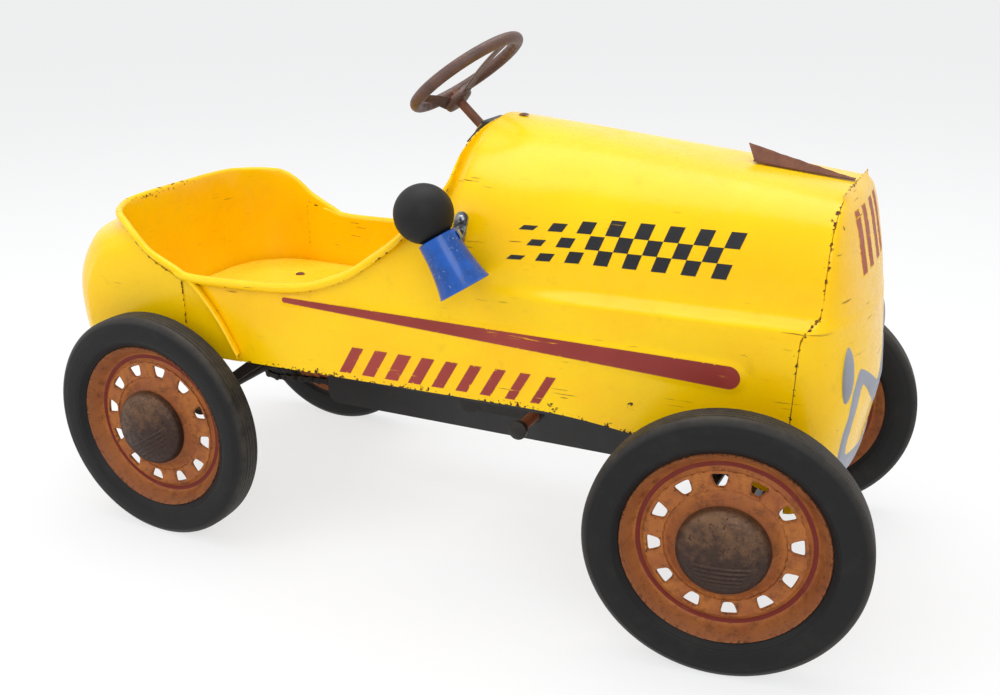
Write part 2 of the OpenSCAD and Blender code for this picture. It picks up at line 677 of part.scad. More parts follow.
// Bracket: a plate square to the column, bent over forward under the top of the hood
bracket_half = 22;
bracket_t = 2.5;
bracket_top = hood_z(cowl_x + 26, bracket_half) - 1.2 * sheet_t - 2 * gap;
bracket_bend = (bracket_top - bracket_t - column_z) / cos(column_tilt);
bracket_bolt_x = cowl_x + 17;
module column_bracket() {
    bend_x = column_x + bracket_bend * sin(column_tilt);
    color("black") difference() {
        union() {
            on_column() translate([-bracket_bend - bracket_t, -bracket_half, 0])
                cube([bracket_bend + bracket_t + 14, 2 * bracket_half, bracket_t]);
            translate([bend_x - 1, -bracket_half, bracket_top - bracket_t])
                cube([cowl_x + 26 - bend_x, 2 * bracket_half, bracket_t]);
        }
        translate([bend_x - bracket_half, -2 * bracket_half, bracket_top])
            cube([3 * bracket_half, 4 * bracket_half, bracket_half]);
        on_column() translate([0, 0, -5]) cylinder(r = column_bush_r + run_gap, h = 20);
    }
}
module column_bush() {
    color("darkgoldenrod") on_column() difference() {
        union() {
            translate([0, 0, -4]) cylinder(r = column_bush_r, h = bush_top + 4);
            translate([0, 0, -4]) cylinder(r = column_bush_r + 2.5, h = 4 - seat_gap);
        }
        translate([0, 0, -9]) cylinder(r = column_d / 2 + run_gap, h = 20);
    }
}
// Foot: an upright eye on the front cross member that carries the column's lower end
module column_foot() {
    color(black) difference() {
        union() {
            on_column() translate([-16, -15, foot_at]) cube([34, 30, 4]);
            translate([foot_cross_x - cross_w / 2, -15, cross_top]) cube([cross_w + 16, 30, 3]);
        }
        translate([0, -30, cross_top - 60]) cube([400, 60, 60]);
        on_column() translate([0, 0, foot_at - 1]) cylinder(d = column_d + 2 * run_gap, h = 30);
        on_column() translate([0, 0, foot_at - 20]) cylinder(d = column_d + 6 + 2 * gap, h = 20);
    }
}
// Steering wheel: the rim sits askew on its spokes, as bent in use
rim_mid = [-3, 0, 499];
rim_tilt = 54;
hub_mid = [column_x - hub_back * cos(column_tilt), 0, column_z + hub_back * sin(column_tilt)];
spoke_angles = [90, 215, 325];
function rim_point(a, r) = rim_mid + r * (cos(a) * [0, 1, 0]
    + sin(a) * [sin(rim_tilt), 0, cos(rim_tilt)]);
function hub_point(a, r) = hub_mid + r * (cos(a) * [0, 1, 0]
    + sin(a) * [sin(column_tilt), 0, cos(column_tilt)]);
module steering_wheel() {
    color(rust) {
        translate(rim_mid) rotate([0, rim_tilt - 90, 0]) rotate_extrude()
            translate([wheel_rim_r, 0]) circle(d = wheel_tube_d);
        for (a = spoke_angles) hull() {
            translate(hub_point(a, 12)) rotate([0, column_tilt - 90, 0]) cylinder(r = 5, h = 2.4, $fn = 24);
            translate(rim_point(a, wheel_rim_r - 4)) rotate([0, rim_tilt - 90, 0])
                cylinder(r = 6, h = 2.4, center = true, $fn = 24);
        }
        on_column() difference() {
            translate([0, 0, -hub_back - 4]) cylinder(r = 16, h = 8);
            translate([0, 0, -hub_back - 9]) cylinder(d = column_d + 2 * run_gap, h = 30);
        }
    }
}
module steering_nut() {
    color("silver") on_column() translate([0, 0, -hub_back - 4 - seat_gap - 5]) difference() {
        cylinder(r = 8, h = 5, $fn = 6);
        translate([0, 0, -1]) cylinder(d = column_d + 2 * run_gap, h = 7);
    }
}

// Wheels, drawn with the middle plane at y = 0 and the outer face towards +Y
wheel_r = wheel_d / 2;
hub_in = 13;
hub_out = 12;
hub_wall = 3.5;
disc_y = 8.5;
disc_t = 1.5;
// Disc face: a raised middle for the hubcap, a dished ring of holes and a wall out to the edge
dish_y = -1;
groove_y = -4.2;
cap_seat_y = 6.5;
function face_line(s) = [
    [axle_r + hub_wall, cap_seat_y], [hubcap_d / 2 + 1, cap_seat_y], [hubcap_d / 2 + 10, dish_y],
    [wheel_r - 21, dish_y - 0.4], [wheel_r - 17.5, groove_y], [wheel_r - 12, groove_y],
    [wheel_r - 9, groove_y + 3], [wheel_r - 5, cap_seat_y - 1], [wheel_r, disc_y + 2.5]];
function face_back(s) = [
    [wheel_r + 0.8, disc_y + 1.1], [wheel_r - 3.7, cap_seat_y - 2],
    [wheel_r - 7.7, groove_y + 2.2], [wheel_r - 11.2, groove_y - disc_t],
    [wheel_r - 18.2, groove_y - disc_t], [wheel_r - 21.6, dish_y - 0.4 - disc_t],
    [hubcap_d / 2 + 9.6, dish_y - disc_t], [hubcap_d / 2 + 0.6, cap_seat_y - disc_t],
    [axle_r + hub_wall, cap_seat_y - disc_t]];
hole_r = wheel_r - 29;
// How far each wheel is turned round its axle, as seen from the right
spin_front = 6.5;
spin_rear = 21;
// Shield-shaped hole: broad towards the rim and round towards the hub
module wheel_hole() {
    hole_w = 17;
    polygon(concat(
        [for (a = [180:30:360]) [hole_r - 3 + 5.2 * sin(a) * 1.1, 5.2 * cos(a)]],
        [for (a = [60:-20:-60]) [hole_r + 3 + 4.5 * cos(a), (hole_w / 2 - 1) * sin(a) / sin(60)]]));
}
module wheel_disc() {
    rotate([-90, 0, 0]) {
        difference() {
            rotate_extrude($fn = 96) polygon(concat(face_line(0), face_back(0)));
            for (k = [0:hole_count - 1]) rotate([0, 0, 360 * k / hole_count])
                linear_extrude(30, center = true) wheel_hole();
        }
        difference() {
            translate([0, 0, -hub_in]) cylinder(r = axle_r + hub_wall + 0.4, h = hub_in + hub_out);
            translate([0, 0, -20]) cylinder(r = axle_r + run_gap, h = 60);
        }
    }
}
module wheel_rim_back() {
    y0 = groove_y - disc_t - seat_gap;
    rotate([-90, 0, 0]) rotate_extrude($fn = 96) polygon([
        [wheel_r - 19, y0 - 1.4], [wheel_r - 10.6, y0 - 1.4], [wheel_r - 7.4, y0 - 3.4],
        [wheel_r - 4, -disc_y - 3.6], [wheel_r, -disc_y - 5], [wheel_r + 0.8, -disc_y - 3.6],
        [wheel_r - 3.4, -disc_y - 2.2], [wheel_r - 6.6, y0 - 2.2], [wheel_r - 9.8, y0],
        [wheel_r - 19, y0]]);
}
// Tyre section: front flank, ribs across the tread, back flank
rib_n = 5;
rib_deep = 1.2;
module tyre() {
    r = tyre_d / 2;
    h = tyre_w / 2;
    t = r - wheel_r;
    shoulder = [[wheel_r + 0.34 * t, h - 0.3], [r - 0.37 * t, h], [r - 0.15 * t, h - 0.6],
        [r - 0.04 * t, h - 2.2]];
    front = concat([
        [wheel_r - 9, groove_y - disc_t + 0.6], [wheel_r - 7.2, groove_y + 1.8],
        [wheel_r - 3.1, cap_seat_y - 2.4], [wheel_r + 0.04 * t, disc_y + 0.6],
        [wheel_r + 0.14 * t, h - 3.5]], shoulder);
    back = concat([
        [wheel_r - 9, groove_y - disc_t - 0.3], [wheel_r - 6, groove_y - disc_t - 2],
        [wheel_r - 3, -disc_y - 1.8], [wheel_r + 0.04 * t, -disc_y - 3.2],
        [wheel_r + 0.14 * t, 2 - h]], [for (p = shoulder) [p[0], -p[1]]]);
    tread = [for (k = [0:rib_n - 1]) let (w = (2 * h - 6) / rib_n, y = h - 3 - w * k)
        each [[r, y - 0.6], [r, y - w + 0.6], [r - rib_deep, y - w + 0.3], [r - rib_deep, y - w - 0.3]]];
    rotate([-90, 0, 0]) rotate_extrude($fn = 96) polygon(concat(
        front, [for (i = [0:len(tread) - 3]) tread[i]], flip(back)));
}
// Hubcap: a domed cap with a small centre point and raised bars
cap_steps = 8;
function cap_y(q) = cap_seat_y + seat_gap + (hubcap_h - 2) * pow(1 - q * q, 0.42) * (1 - 0.12 * q * q);
module hubcap() {
    r = hubcap_d / 2;
    outer = [for (k = [0:cap_steps]) let (q = sin(90 * k / cap_steps)) [r * q, cap_y(q)]];
    inner = [for (k = [cap_steps:-1:0]) let (q = sin(90 * k / cap_steps))
        [(r - 1.1) * q, max(cap_seat_y + seat_gap, cap_y(q) - 1.1)]];
    rotate([-90, 0, 0]) {
        rotate_extrude($fn = 96) polygon(concat(outer, inner));
        translate([0, 0, cap_y(0) - 0.5]) cylinder(r1 = 3.5, r2 = 1.2, h = 2.5);
    }
    for (k = [-2:2]) translate([0, cap_y(0.42), k * 6]) rotate([0, 90, 0])
        cylinder(r = 1.3, h = 22 - 3 * abs(k), center = true);
}
// Places a wheel piece at a rear corner; s is 1 on the left and -1 on the right
module at_rear(s) {
    translate([rear_axle_x, s * track_half, axle_z]) mirror([0, s > 0 ? 0 : 1, 0])
        rotate([0, -spin_rear, 0]) children();
}
module at_front(s) {
    translate([front_axle_x, s * kingpin_y, axle_z]) rotate([0, 0, steer_rest])
        translate([0, s * (track_half - kingpin_y), 0]) mirror([0, s > 0 ? 0 : 1, 0])
            rotate([0, -spin_front, 0]) children();
}
module front_left_disc() { color(rust) at_front(1) wheel_disc(); }
module front_left_rim_back() { color(rust) at_front(1) wheel_rim_back(); }
module front_left_tyre() { color("darkslategray") at_front(1) tyre(); }
module front_left_hubcap() { color("saddlebrown") at_front(1) hubcap(); }
module front_right_disc() { color(rust) at_front(-1) wheel_disc(); }
module front_right_rim_back() { color(rust) at_front(-1) wheel_rim_back(); }
module front_right_tyre() { color("darkslategray") at_front(-1) tyre(); }
module front_right_hubcap() { color("saddlebrown") at_front(-1) hubcap(); }
module rear_left_disc() { color(rust) at_rear(1) wheel_disc(); }
module rear_left_rim_back() { color(rust) at_rear(1) wheel_rim_back(); }
module rear_left_tyre() { color("darkslategray") at_rear(1) tyre(); }
module rear_left_hubcap() { color("saddlebrown") at_rear(1) hubcap(); }
module rear_right_disc() { color(rust) at_rear(-1) wheel_disc(); }
module rear_right_rim_back() { color(rust) at_rear(-1) wheel_rim_back(); }
module rear_right_tyre() { color("darkslategray") at_rear(-1) tyre(); }
module rear_right_hubcap() { color("saddlebrown") at_rear(-1) hubcap(); }

// Rear axle with its sprocket, collars and end pins
module rear_axle() {
    reach = track_half + axle_out;
    collar_t = 4;
    color(rust) translate([rear_axle_x, 0, axle_z]) rotate([90, 0, 0]) {
        difference() {
            cylinder(r = axle_r, h = 2 * reach, center = true);
            for (s = [-1, 1]) translate([0, 10, s * (reach - pin_in)]) rotate([90, 0, 0])
                cylinder(d = 2.2, h = 20);
        }
        for (s = [-1, 1]) for (y = [rail_y - bush_l / 2, track_half - hub_in])
            translate([0, 0, s * (y - gap - collar_t / 2)])
                cylinder(r = axle_r + 4, h = collar_t, center = true);
    }
}
module rear_axle_pins() {
    color("silver") for (s = [-1, 1]) at_rear(s) rotate([0, spin_rear, 0]) stub_pins();
}
roller_r = 3.85;
seat_r = roller_r + 0.45;
tooth_room = 1.7;
// Sprocket along Y; phase turns the first roller seat
module sprocket(teeth, pitch_r, bore_r, hub_r, phase) {
    rotate([90, 0, 0]) difference() {
        union() {
            difference() {
                cylinder(r = pitch_r + 3, h = 2.6, center = true, $fn = 72);
                for (k = [0:teeth - 1]) rotate([0, 0, phase + 360 * k / teeth])
                    linear_extrude(9, center = true) hull() {
                        translate([pitch_r, 0]) circle(seat_r);
                        translate([pitch_r + 4, 0]) circle(seat_r + tooth_room);
                    }
            }
            cylinder(r = hub_r, h = 14, center = true);
        }
        cylinder(r = bore_r, h = 40, center = true);
    }
}
// Chain: position of a roller at pitch s along the loop, as [x, z, heading]
tilt = atan((crank_z - axle_z) / (crank_x - rear_axle_x));
half_wrap = wrap(chain_span);
run_n = chain_span * cos(half_wrap) / chain_pitch;
drive_n = drive_teeth * (180 + 2 * half_wrap) / 360;
axle_n = axle_teeth * (180 - 2 * half_wrap) / 360;
function around(x, z, r, a) = [x + r * cos(a), z + r * sin(a), a - 90];
function loop_point(s) =
    let (top = 90 + tilt + half_wrap, low = -90 + tilt - half_wrap)
    s < run_n ? let (p = around(rear_axle_x, axle_z, axle_pitch_r, top))
        [p[0] + s * chain_pitch * cos(top - 90), p[1] + s * chain_pitch * sin(top - 90), top - 90] :
    s < run_n + drive_n ?
        around(crank_x, crank_z, drive_pitch_r, top - (s - run_n) * 360 / drive_teeth) :
    s < 2 * run_n + drive_n ? let (p = around(crank_x, crank_z, drive_pitch_r, low),
            d = (s - run_n - drive_n) * chain_pitch)
        [p[0] + d * cos(low - 90), p[1] + d * sin(low - 90), low - 90] :
    around(rear_axle_x, axle_z, axle_pitch_r, low - (s - 2 * run_n - drive_n) * 360 / axle_teeth);
drive_first = ceil(run_n);
axle_first = ceil(2 * run_n + drive_n);
drive_phase = loop_point(drive_first)[2] + 90;
axle_phase = loop_point(axle_first)[2] + 90;
link_w = 3.4;
plate_t = 0.9;
module link(a, b, outer) {
    length = norm([b[0] - a[0], b[1] - a[1]]);
    y0 = link_w / 2 + (outer ? plate_t + 0.25 : 0);
    translate([a[0], chain_y, a[1]]) rotate([0, -atan2(b[1] - a[1], b[0] - a[0]), 0])
        rotate([90, 0, 0]) {
            for (s = [-1, 1]) translate([0, 0, s * (y0 + plate_t / 2)]) difference() {
                union() {
                    for (x = [0, length]) translate([x, 0, 0]) cylinder(r = 4.2, h = plate_t, center = true, $fn = 20);
                    cube_between(length);
                }
                if (!outer) for (x = [0, length]) translate([x, 0, 0])
                    cylinder(r = 2.2, h = 3, center = true, $fn = 20);
            }
            for (x = [0, length]) translate([x, 0, 0])
                if (outer) cylinder(r = 1.8, h = 2 * (y0 + plate_t) + 1.2, center = true, $fn = 20);
                else difference() {
                    cylinder(r = roller_r, h = link_w, center = true, $fn = 20);
                    cylinder(r = 2.2, h = 9, center = true, $fn = 20);
                }
        }
}
module cube_between(length) {
    translate([0, -3.1, -plate_t / 2]) cube([length, 6.2, plate_t]);
}
module chain() {
    color("black") for (i = [0:chain_links - 1])
        link(loop_point(i), loop_point((i + 1) % chain_links), i % 2 == 1);
}
module rear_sprocket() {
    color(black) translate([rear_axle_x, chain_y, axle_z])
        sprocket(axle_teeth, axle_pitch_r, axle_r + seat_gap / 4, 11, axle_phase);
}
module drive_sprocket() {
    color(black) translate([crank_x, chain_y, crank_z])
        sprocket(drive_teeth, drive_pitch_r, crank_r + seat_gap / 4, 13, drive_phase);
}
// Crankshaft: shaft, two flat arms and a pin with a domed head on each
arm_y = hanger_y + bush_l / 2 + gap;
arm_bar = 6;
pedal_pin_r = 4;
sleeve_l = 38;
head_h = 8;
module crankshaft() {
    color(rust) translate([crank_x, 0, crank_z]) {
        rotate([90, 0, 0]) cylinder(r = crank_r, h = 2 * arm_y + 2, center = true);
        for (s = [-1, 1]) translate([0, s * (arm_y + arm_bar / 2), 0]) rotate([90, 0, 0]) {
            translate([0, 0, -arm_bar / 2]) linear_extrude(arm_bar) union() {
                circle(11);
                translate([-s * crank_throw, 0]) circle(9);
                translate([s > 0 ? -crank_throw : 0, -7]) square([crank_throw, 14]);
            }
            translate([-s * crank_throw, 0, s > 0 ? -arm_bar / 2 - sleeve_l - 2 * gap - 1 : 0])
                cylinder(r = pedal_pin_r, h = sleeve_l + arm_bar / 2 + 2 * gap + 1);
            translate([-s * crank_throw, 0, -s * (arm_bar / 2 + sleeve_l + 2 * gap)])
                rotate([s > 0 ? 180 : 0, 0, 0]) bolt_head(20, head_h);
        }
    }
}
module pedal_sleeve() {
    rotate([90, 0, 0]) difference() {
        cylinder(r = pedal_pin_r + 2, h = sleeve_l, center = true);
        cylinder(r = pedal_pin_r + run_gap, h = sleeve_l + 2, center = true);
    }
}
pedal_y = arm_y + arm_bar + gap + sleeve_l / 2;
module pedal_left() {
    color("dimgray") translate([crank_x - crank_throw, pedal_y, crank_z]) pedal_sleeve();
}
module pedal_right() {
    color("dimgray") translate([crank_x + crank_throw, -pedal_y, crank_z]) pedal_sleeve();
}

// Ornament: a folded strip on the hood, high at the back and pointed at the front
ornament_x = 290;
ornament_l = 100;
ornament_h = 19;
ornament_lean = 24;
module hood_ornament() {
    color("saddlebrown") translate([ornament_x, 0, hood_top(ornament_x) + seat_gap])
        rotate([0, atan((cowl_z - hood_front_z) / (seam_x - cowl_x)), 0]) difference() {
            union() {
                for (s = [-1, 1]) translate([0, s * ornament_h * sin(ornament_lean), 0])
                    rotate([90 + s * ornament_lean, 0, 0]) linear_extrude(1.4, center = true)
                        polygon([[0, 0.6], [ornament_l, 0.6], [ornament_l, 1.6], [0, ornament_h]]);
                translate([0, -ornament_h * sin(ornament_lean), 0])
                    cube([ornament_l, 2 * ornament_h * sin(ornament_lean), 1.2]);
            }
            translate([48, 0, 7]) rotate([90, 0, 0]) cylinder(d = 4, h = 40, center = true);
        }
}

// Horn, drawn along +Z from the middle of the bulb to the mouth
bulb_room = 19;
bulb_mid = [cowl_x - 8, -seat_half_w - bulb_room, 393];
horn_lean = 148;
bell_from = bulb_d / 2 - 3;
module on_horn() {
    translate(bulb_mid) rotate([0, horn_lean, 0]) children();
}
neck_r = 9;
bell_top_r = 19;
module horn_bulb() {
    color("black") on_horn() difference() {
        union() {
            sphere(d = bulb_d);
            cylinder(r = neck_r, h = bell_from + 8);
        }
        sphere(d = bulb_d - 6);
        cylinder(r = neck_r - 2.5, h = bell_from + 9);
    }
}
module horn_reed() {
    color("darkgoldenrod") on_horn() translate([0, 0, bell_from - 10]) difference() {
        cylinder(r = neck_r - 2.5 - seat_gap, h = 30);
        translate([0, 0, 2]) cylinder(r = neck_r - 4.5, h = 40);
    }
}
bell_wall = 1;
bell_lift = 1;
module horn_bell() {
    r1 = bell_d / 2;
    z0 = bell_from + bell_lift;
    flare = [for (k = [0:8]) let (q = k / 8) [lerp(bell_top_r, r1, pow(q, 2.2)), z0 + bell_l * q]];
    color("royalblue") on_horn() rotate_extrude($fn = 64) polygon(concat(
        [[neck_r + seat_gap, z0 + 2.6], [bell_top_r - 1.4, z0 + 2.6], [bell_top_r - 1, z0]], flare,
        [for (k = [8:-1:1]) flare[k] - [bell_wall, 0]],
        [[bell_top_r - 1.1, z0 + 3.6], [neck_r + seat_gap, z0 + 3.6]]));
}
// Bracket: a ring round the bell, and a plate screwed flat to the side of the hood
ring_at = bell_from + bell_lift + 2;
bracket_x = 53;
bracket_z = 372;
function hood_y(x, z) = let (n = roundness(x))
    upper_w(x) * pow(1 - pow((z - ledge_z) / (hood_top(x) - ledge_z), n), 1 / n);
module horn_bracket() {
    face = hood_y(bracket_x, bracket_z);
    lean = atan((hood_y(bracket_x, bracket_z - 4) - hood_y(bracket_x, bracket_z + 4)) / 8);
    flare = atan((hood_y(bracket_x + 4, bracket_z) - hood_y(bracket_x - 4, bracket_z)) / 8);
    ring_r = bell_top_r + 1.1;
    color("silver") {
        on_horn() translate([0, 0, ring_at]) difference() {
            cylinder(r = ring_r + 1.5, h = 8);
            translate([0, 0, -1]) cylinder(r = ring_r, h = 10);
            translate([-bell_d, -bell_d, -1]) cube([2 * bell_d, bell_d + 3, 10]);
        }
        translate([bracket_x, -face - gap, bracket_z]) rotate([-lean, 0, -flare]) {
            translate([-7, -2, -18]) cube([14, 2, 27]);
            translate([0, 0, 9]) rotate([90, 0, 0]) cylinder(r = 7, h = 2);
            translate([0, -1.8, 9]) rotate([90, 0, 0]) bolt_head(7, 2.4);
        }
        translate([bracket_x - 6, bulb_mid[1] + ring_r + 0.6, bracket_z - 16])
            cube([12, -face - bulb_mid[1] - ring_r - 8.4, 8]);
    }
}

hood_body();
nose_shell();
tail_shell();
seat_back();
seat_pan();
body_bolts();
hood_ornament();
column_bracket();
column_bush();
column_foot();
frame_rail_left();
frame_rail_right();
cross_members();
crank_hanger_left();
crank_hanger_right();
crank_bushes();
rear_bearings();
chain_guard();
frame_bolts();
front_axle();
kingpins();
horn_bulb();
horn_bell();
horn_reed();
horn_bracket();
chain();
rear_axle();
rear_sprocket();
rear_axle_pins();
crankshaft();
drive_sprocket();
pedal_left();
pedal_right();
steering_wheel();
steering_nut();
steering_column();
knuckle_left();
knuckle_right();
stub_pins_left();
stub_pins_right();
tie_rod();
tie_rod_bolts();
front_left_disc();
front_left_rim_back();
front_left_tyre();
front_left_hubcap();
front_right_disc();
front_right_rim_back();
front_right_tyre();
front_right_hubcap();
rear_left_disc();
rear_left_rim_back();
rear_left_tyre();
rear_left_hubcap();
rear_right_disc();
rear_right_rim_back();
rear_right_tyre();
rear_right_hubcap();
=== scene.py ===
"""Visible surfaces of a worn pedal car: pressed body, paint, disc wheels, bulb horn and a studio.

Shapes are worked out in millimetres, in the frame of the CAD model, and turned to metres when a
mesh is made. X points forward, Y to the driver's left and Z up.
"""

import json
import math

import bmesh
import bpy
import numpy as np
from mathutils import Matrix, Vector, noise


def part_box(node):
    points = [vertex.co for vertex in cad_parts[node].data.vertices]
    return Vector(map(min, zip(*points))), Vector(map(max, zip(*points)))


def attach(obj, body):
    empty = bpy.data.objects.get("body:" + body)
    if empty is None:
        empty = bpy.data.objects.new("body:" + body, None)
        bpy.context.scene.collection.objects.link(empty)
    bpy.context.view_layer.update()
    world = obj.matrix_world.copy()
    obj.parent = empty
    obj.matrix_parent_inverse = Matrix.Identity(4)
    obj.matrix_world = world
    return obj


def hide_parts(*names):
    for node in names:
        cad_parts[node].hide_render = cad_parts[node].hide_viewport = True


bl_info = {
    "name": "Pedal car finishes",
    "version": (1, 0, 0),
    "blender": (4, 5, 0),
    "location": "3D View > Sidebar > Pedal car",
    "description": "Pressed body, wheels, horn and studio for a worn pedal car",
    "category": "Object",
}

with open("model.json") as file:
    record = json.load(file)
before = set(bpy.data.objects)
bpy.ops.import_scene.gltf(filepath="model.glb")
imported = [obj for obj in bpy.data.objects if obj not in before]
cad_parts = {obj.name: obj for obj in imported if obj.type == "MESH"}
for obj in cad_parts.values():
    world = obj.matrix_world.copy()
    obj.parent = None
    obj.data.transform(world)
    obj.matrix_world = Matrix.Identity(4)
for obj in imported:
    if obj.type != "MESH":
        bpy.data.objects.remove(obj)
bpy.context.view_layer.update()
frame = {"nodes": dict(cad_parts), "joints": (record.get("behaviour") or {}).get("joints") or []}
MM = 0.001
CAR = "car_body"


def joint_point(name):
    """Anchor of a joint, in millimetres."""
    joint = next(j for j in frame["joints"] if j["name"] == name)
    return Vector(joint["pos_m"]) / MM


def linear(code):
    """Linear colour of an sRGB hex code."""
    parts = [int(code[i:i + 2], 16) / 255 for i in (0, 2, 4)]
    return tuple(c / 12.92 if c <= 0.04045 else ((c + 0.055) / 1.055) ** 2.4 for c in parts)


def rgba(colour):
    """Colour with full opacity, from a hex code or three linear values."""
    return (*(linear(colour) if isinstance(colour, str) else colour), 1.0)


# Sizes and colours that a user would change

def length_property(name, description, size, least, most, precision=4):
    """Length property whose sizes are given in millimetres."""
    return bpy.props.FloatProperty(
        name=name, description=description, default=size * MM, min=least * MM, max=most * MM,
        unit="LENGTH", precision=precision)


def colour_property(name, description, code):
    """Colour property whose default is an sRGB hex code."""
    return bpy.props.FloatVectorProperty(
        name=name, description=description, default=linear(code), subtype="COLOR", size=3,
        min=0, max=1)


class PedalCarSizes(bpy.types.PropertyGroup):
    roll_radius: length_property(
        "Rolled edge", "Radius of the rolled edge along the cockpit sides", 4.0, 2, 5)
    press_depth: length_property(
        "Spear pressing", "How far the spear on the sides is pressed outwards", 1.7, 0, 3)
    paint_lift: length_property(
        "Paint thickness", "How far a painted mark stands above the enamel", 0.22, 0.1, 0.5, 5)
    lamp_lift: length_property(
        "Lamp pressing", "How far the lamps on the nose stand out", 6.4, 1, 10)
    hole_lip: length_property(
        "Hole lip", "How far the edges of the wheel holes are turned in", 1.8, 0.5, 3)
    ridge_height: length_property(
        "Hubcap ridges", "Height of the ridges across each hubcap", 1.5, 0.3, 2)
    tread_groove: length_property(
        "Tread groove", "Depth of the grooves round the tread", 0.8, 0.4, 2)


class PedalCarColours(bpy.types.PropertyGroup):
    enamel: colour_property("Body enamel", "Yellow stoving enamel of the body", "FFD000")
    enamel_faded: colour_property("Faded enamel", "Enamel where it has dulled", "FFC600")
    stripe: colour_property("Stripe", "Maroon paint of the spear and bars", "8E3029")
    graphic: colour_property("Graphic", "Black paint on the sides of the hood", "17171A")
    lamp: colour_property("Lamps", "Aluminium paint of lamps and mouth", "9A9EA8")
    wheel: colour_property("Wheels", "Weathered orange paint of the wheels", "98552A")
    ring: colour_property("Wheel ring", "Dark red line round each wheel", "6E2018")
    hubcap: colour_property("Hubcaps", "Browned plating of the hubcaps", "3A2820")
    tyre: colour_property("Tyres", "Black rubber of the tyres", "0F0F10")
    bell: colour_property("Horn bell", "Blue enamel of the horn's bell", "0A54AE")
    steering: colour_property("Steering wheel", "Brown paint of the steering wheel", "4E362F")
    chassis: colour_property("Chassis", "Black paint of the frame", "1B1B1D")


# Small tools for numbers and grids

# Points of a body panel closer than this, in millimetres, are one point
WELD_NEAR = 0.004
# Points compared with a border at a time, which keeps the table of distances small
WEAR_BATCH = 2000


def lerp(a, b, t):
    return a + (b - a) * t


def clamp(t):
    return min(1.0, max(0.0, t))


def smooth(t):
    t = clamp(t)
    return t * t * (3 - 2 * t)


def along(points, steps):
    """Smooth curve through points: steps pieces between each two, ends kept."""
    p = np.array(points, float)
    ends = np.vstack([2 * p[0] - p[1], p, 2 * p[-1] - p[-2]])
    made = []
    for i in range(len(p) - 1):
        a, b, c, d = ends[i:i + 4]
        for k in range(steps):
            t = k / steps
            made.append(0.5 * (2 * b + (c - a) * t + (2 * a - 5 * b + 4 * c - d) * t * t
                               + (3 * b - a - 3 * c + d) * t ** 3))
    made.append(p[-1])
    return np.array(made)


def evenly(points, count):
    """A curve's points again, at equal distances along it."""
    p = np.array(points, float)
    way = np.concatenate([[0], np.cumsum(np.linalg.norm(np.diff(p, axis=0), axis=1))])
    marks = np.linspace(0, way[-1], count)
    return np.column_stack([np.interp(marks, way, p[:, k]) for k in range(p.shape[1])])


def grid(rows, closed=False):
    """Points and faces of a grid; closed joins its last column to the first."""
    rows = np.array(rows, float)
    n, m = rows.shape[:2]
    faces = [(i * m + j, i * m + (j + 1) % m, (i + 1) * m + (j + 1) % m, (i + 1) * m + j)
             for i in range(n - 1) for j in range(m if closed else m - 1)]
    return rows.reshape(-1, 3), faces


def mirrored(points, faces):
    """The same shape on the other side of the middle plane."""
    other = np.array(points, float)
    other[:, 1] *= -1
    return other, [tuple(reversed(f)) for f in faces]


def joined(*shapes):
    """Several (points, faces) pairs as one."""
    points, faces = [], []
    for p, f in shapes:
        start = sum(len(q) for q in points)
        points.append(np.array(p, float))
        faces += [tuple(i + start for i in face) for face in f]
    return np.vstack(points), faces


def normals(points, faces):
    """Unit normal at each point, from the faces round it."""
    total = np.zeros_like(points)
    for f in faces:
        a, b, c = points[f[0]], points[f[1]], points[f[2]]
        n = np.cross(b - a, c - a)
        if len(f) == 4:
            n = np.cross(points[f[2]] - a, points[f[3]] - b)
        for i in f:
            total[i] += n
    size = np.linalg.norm(total, axis=1, keepdims=True)
    return total / np.maximum(size, 1e-12)


def welded(points, faces, near=0.02):
    """Points closer than near made one, and flat faces dropped."""
    keys = {}
    index = np.zeros(len(points), int)
    kept = []
    for i, key in enumerate(map(tuple, np.round(points / near).astype(int))):
        if key not in keys:
            keys[key] = len(kept)
            kept.append(i)
        index[i] = keys[key]
    cleaned = []
    for f in faces:
        g = [int(index[i]) for i in f]
        g = [v for k, v in enumerate(g) if v != g[k - 1]]
        if len(set(g)) == len(g) and len(g) > 2:
            cleaned.append(tuple(g))
    return points[kept], cleaned


def both_sides(half):
    """A surface of the right side and its mirror image, joined at the middle plane."""
    return welded(*joined(half, mirrored(*half)), near=WELD_NEAR)


def thickened(points, faces, thickness, centre):
    """Closed sheet behind an open surface whose outside faces away from centre."""
    n = normals(points, faces)
    if float(((points - np.array(centre)) * n).sum()) < 0:
        faces = [tuple(reversed(f)) for f in faces]
        n = -n
    count = len(points)
    edges = {}
    for f in faces:
        for k in range(len(f)):
            edges[(f[k - 1], f[k])] = True
    walls = [(b, a, a + count, b + count) for a, b in edges if (b, a) not in edges]
    back = [tuple(i + count for i in reversed(f)) for f in faces]
    return np.vstack([points, points - n * thickness]), faces + back + walls


def turned(profile, steps):
    """Shape turned round the Y axis from a closed profile of (radius, y) points."""
    rows = [[(r * math.cos(a), y, r * math.sin(a))
             for a in (2 * math.pi * k / steps for k in range(steps))] for r, y in profile]
    return welded(*grid(rows + rows[:1], closed=True))


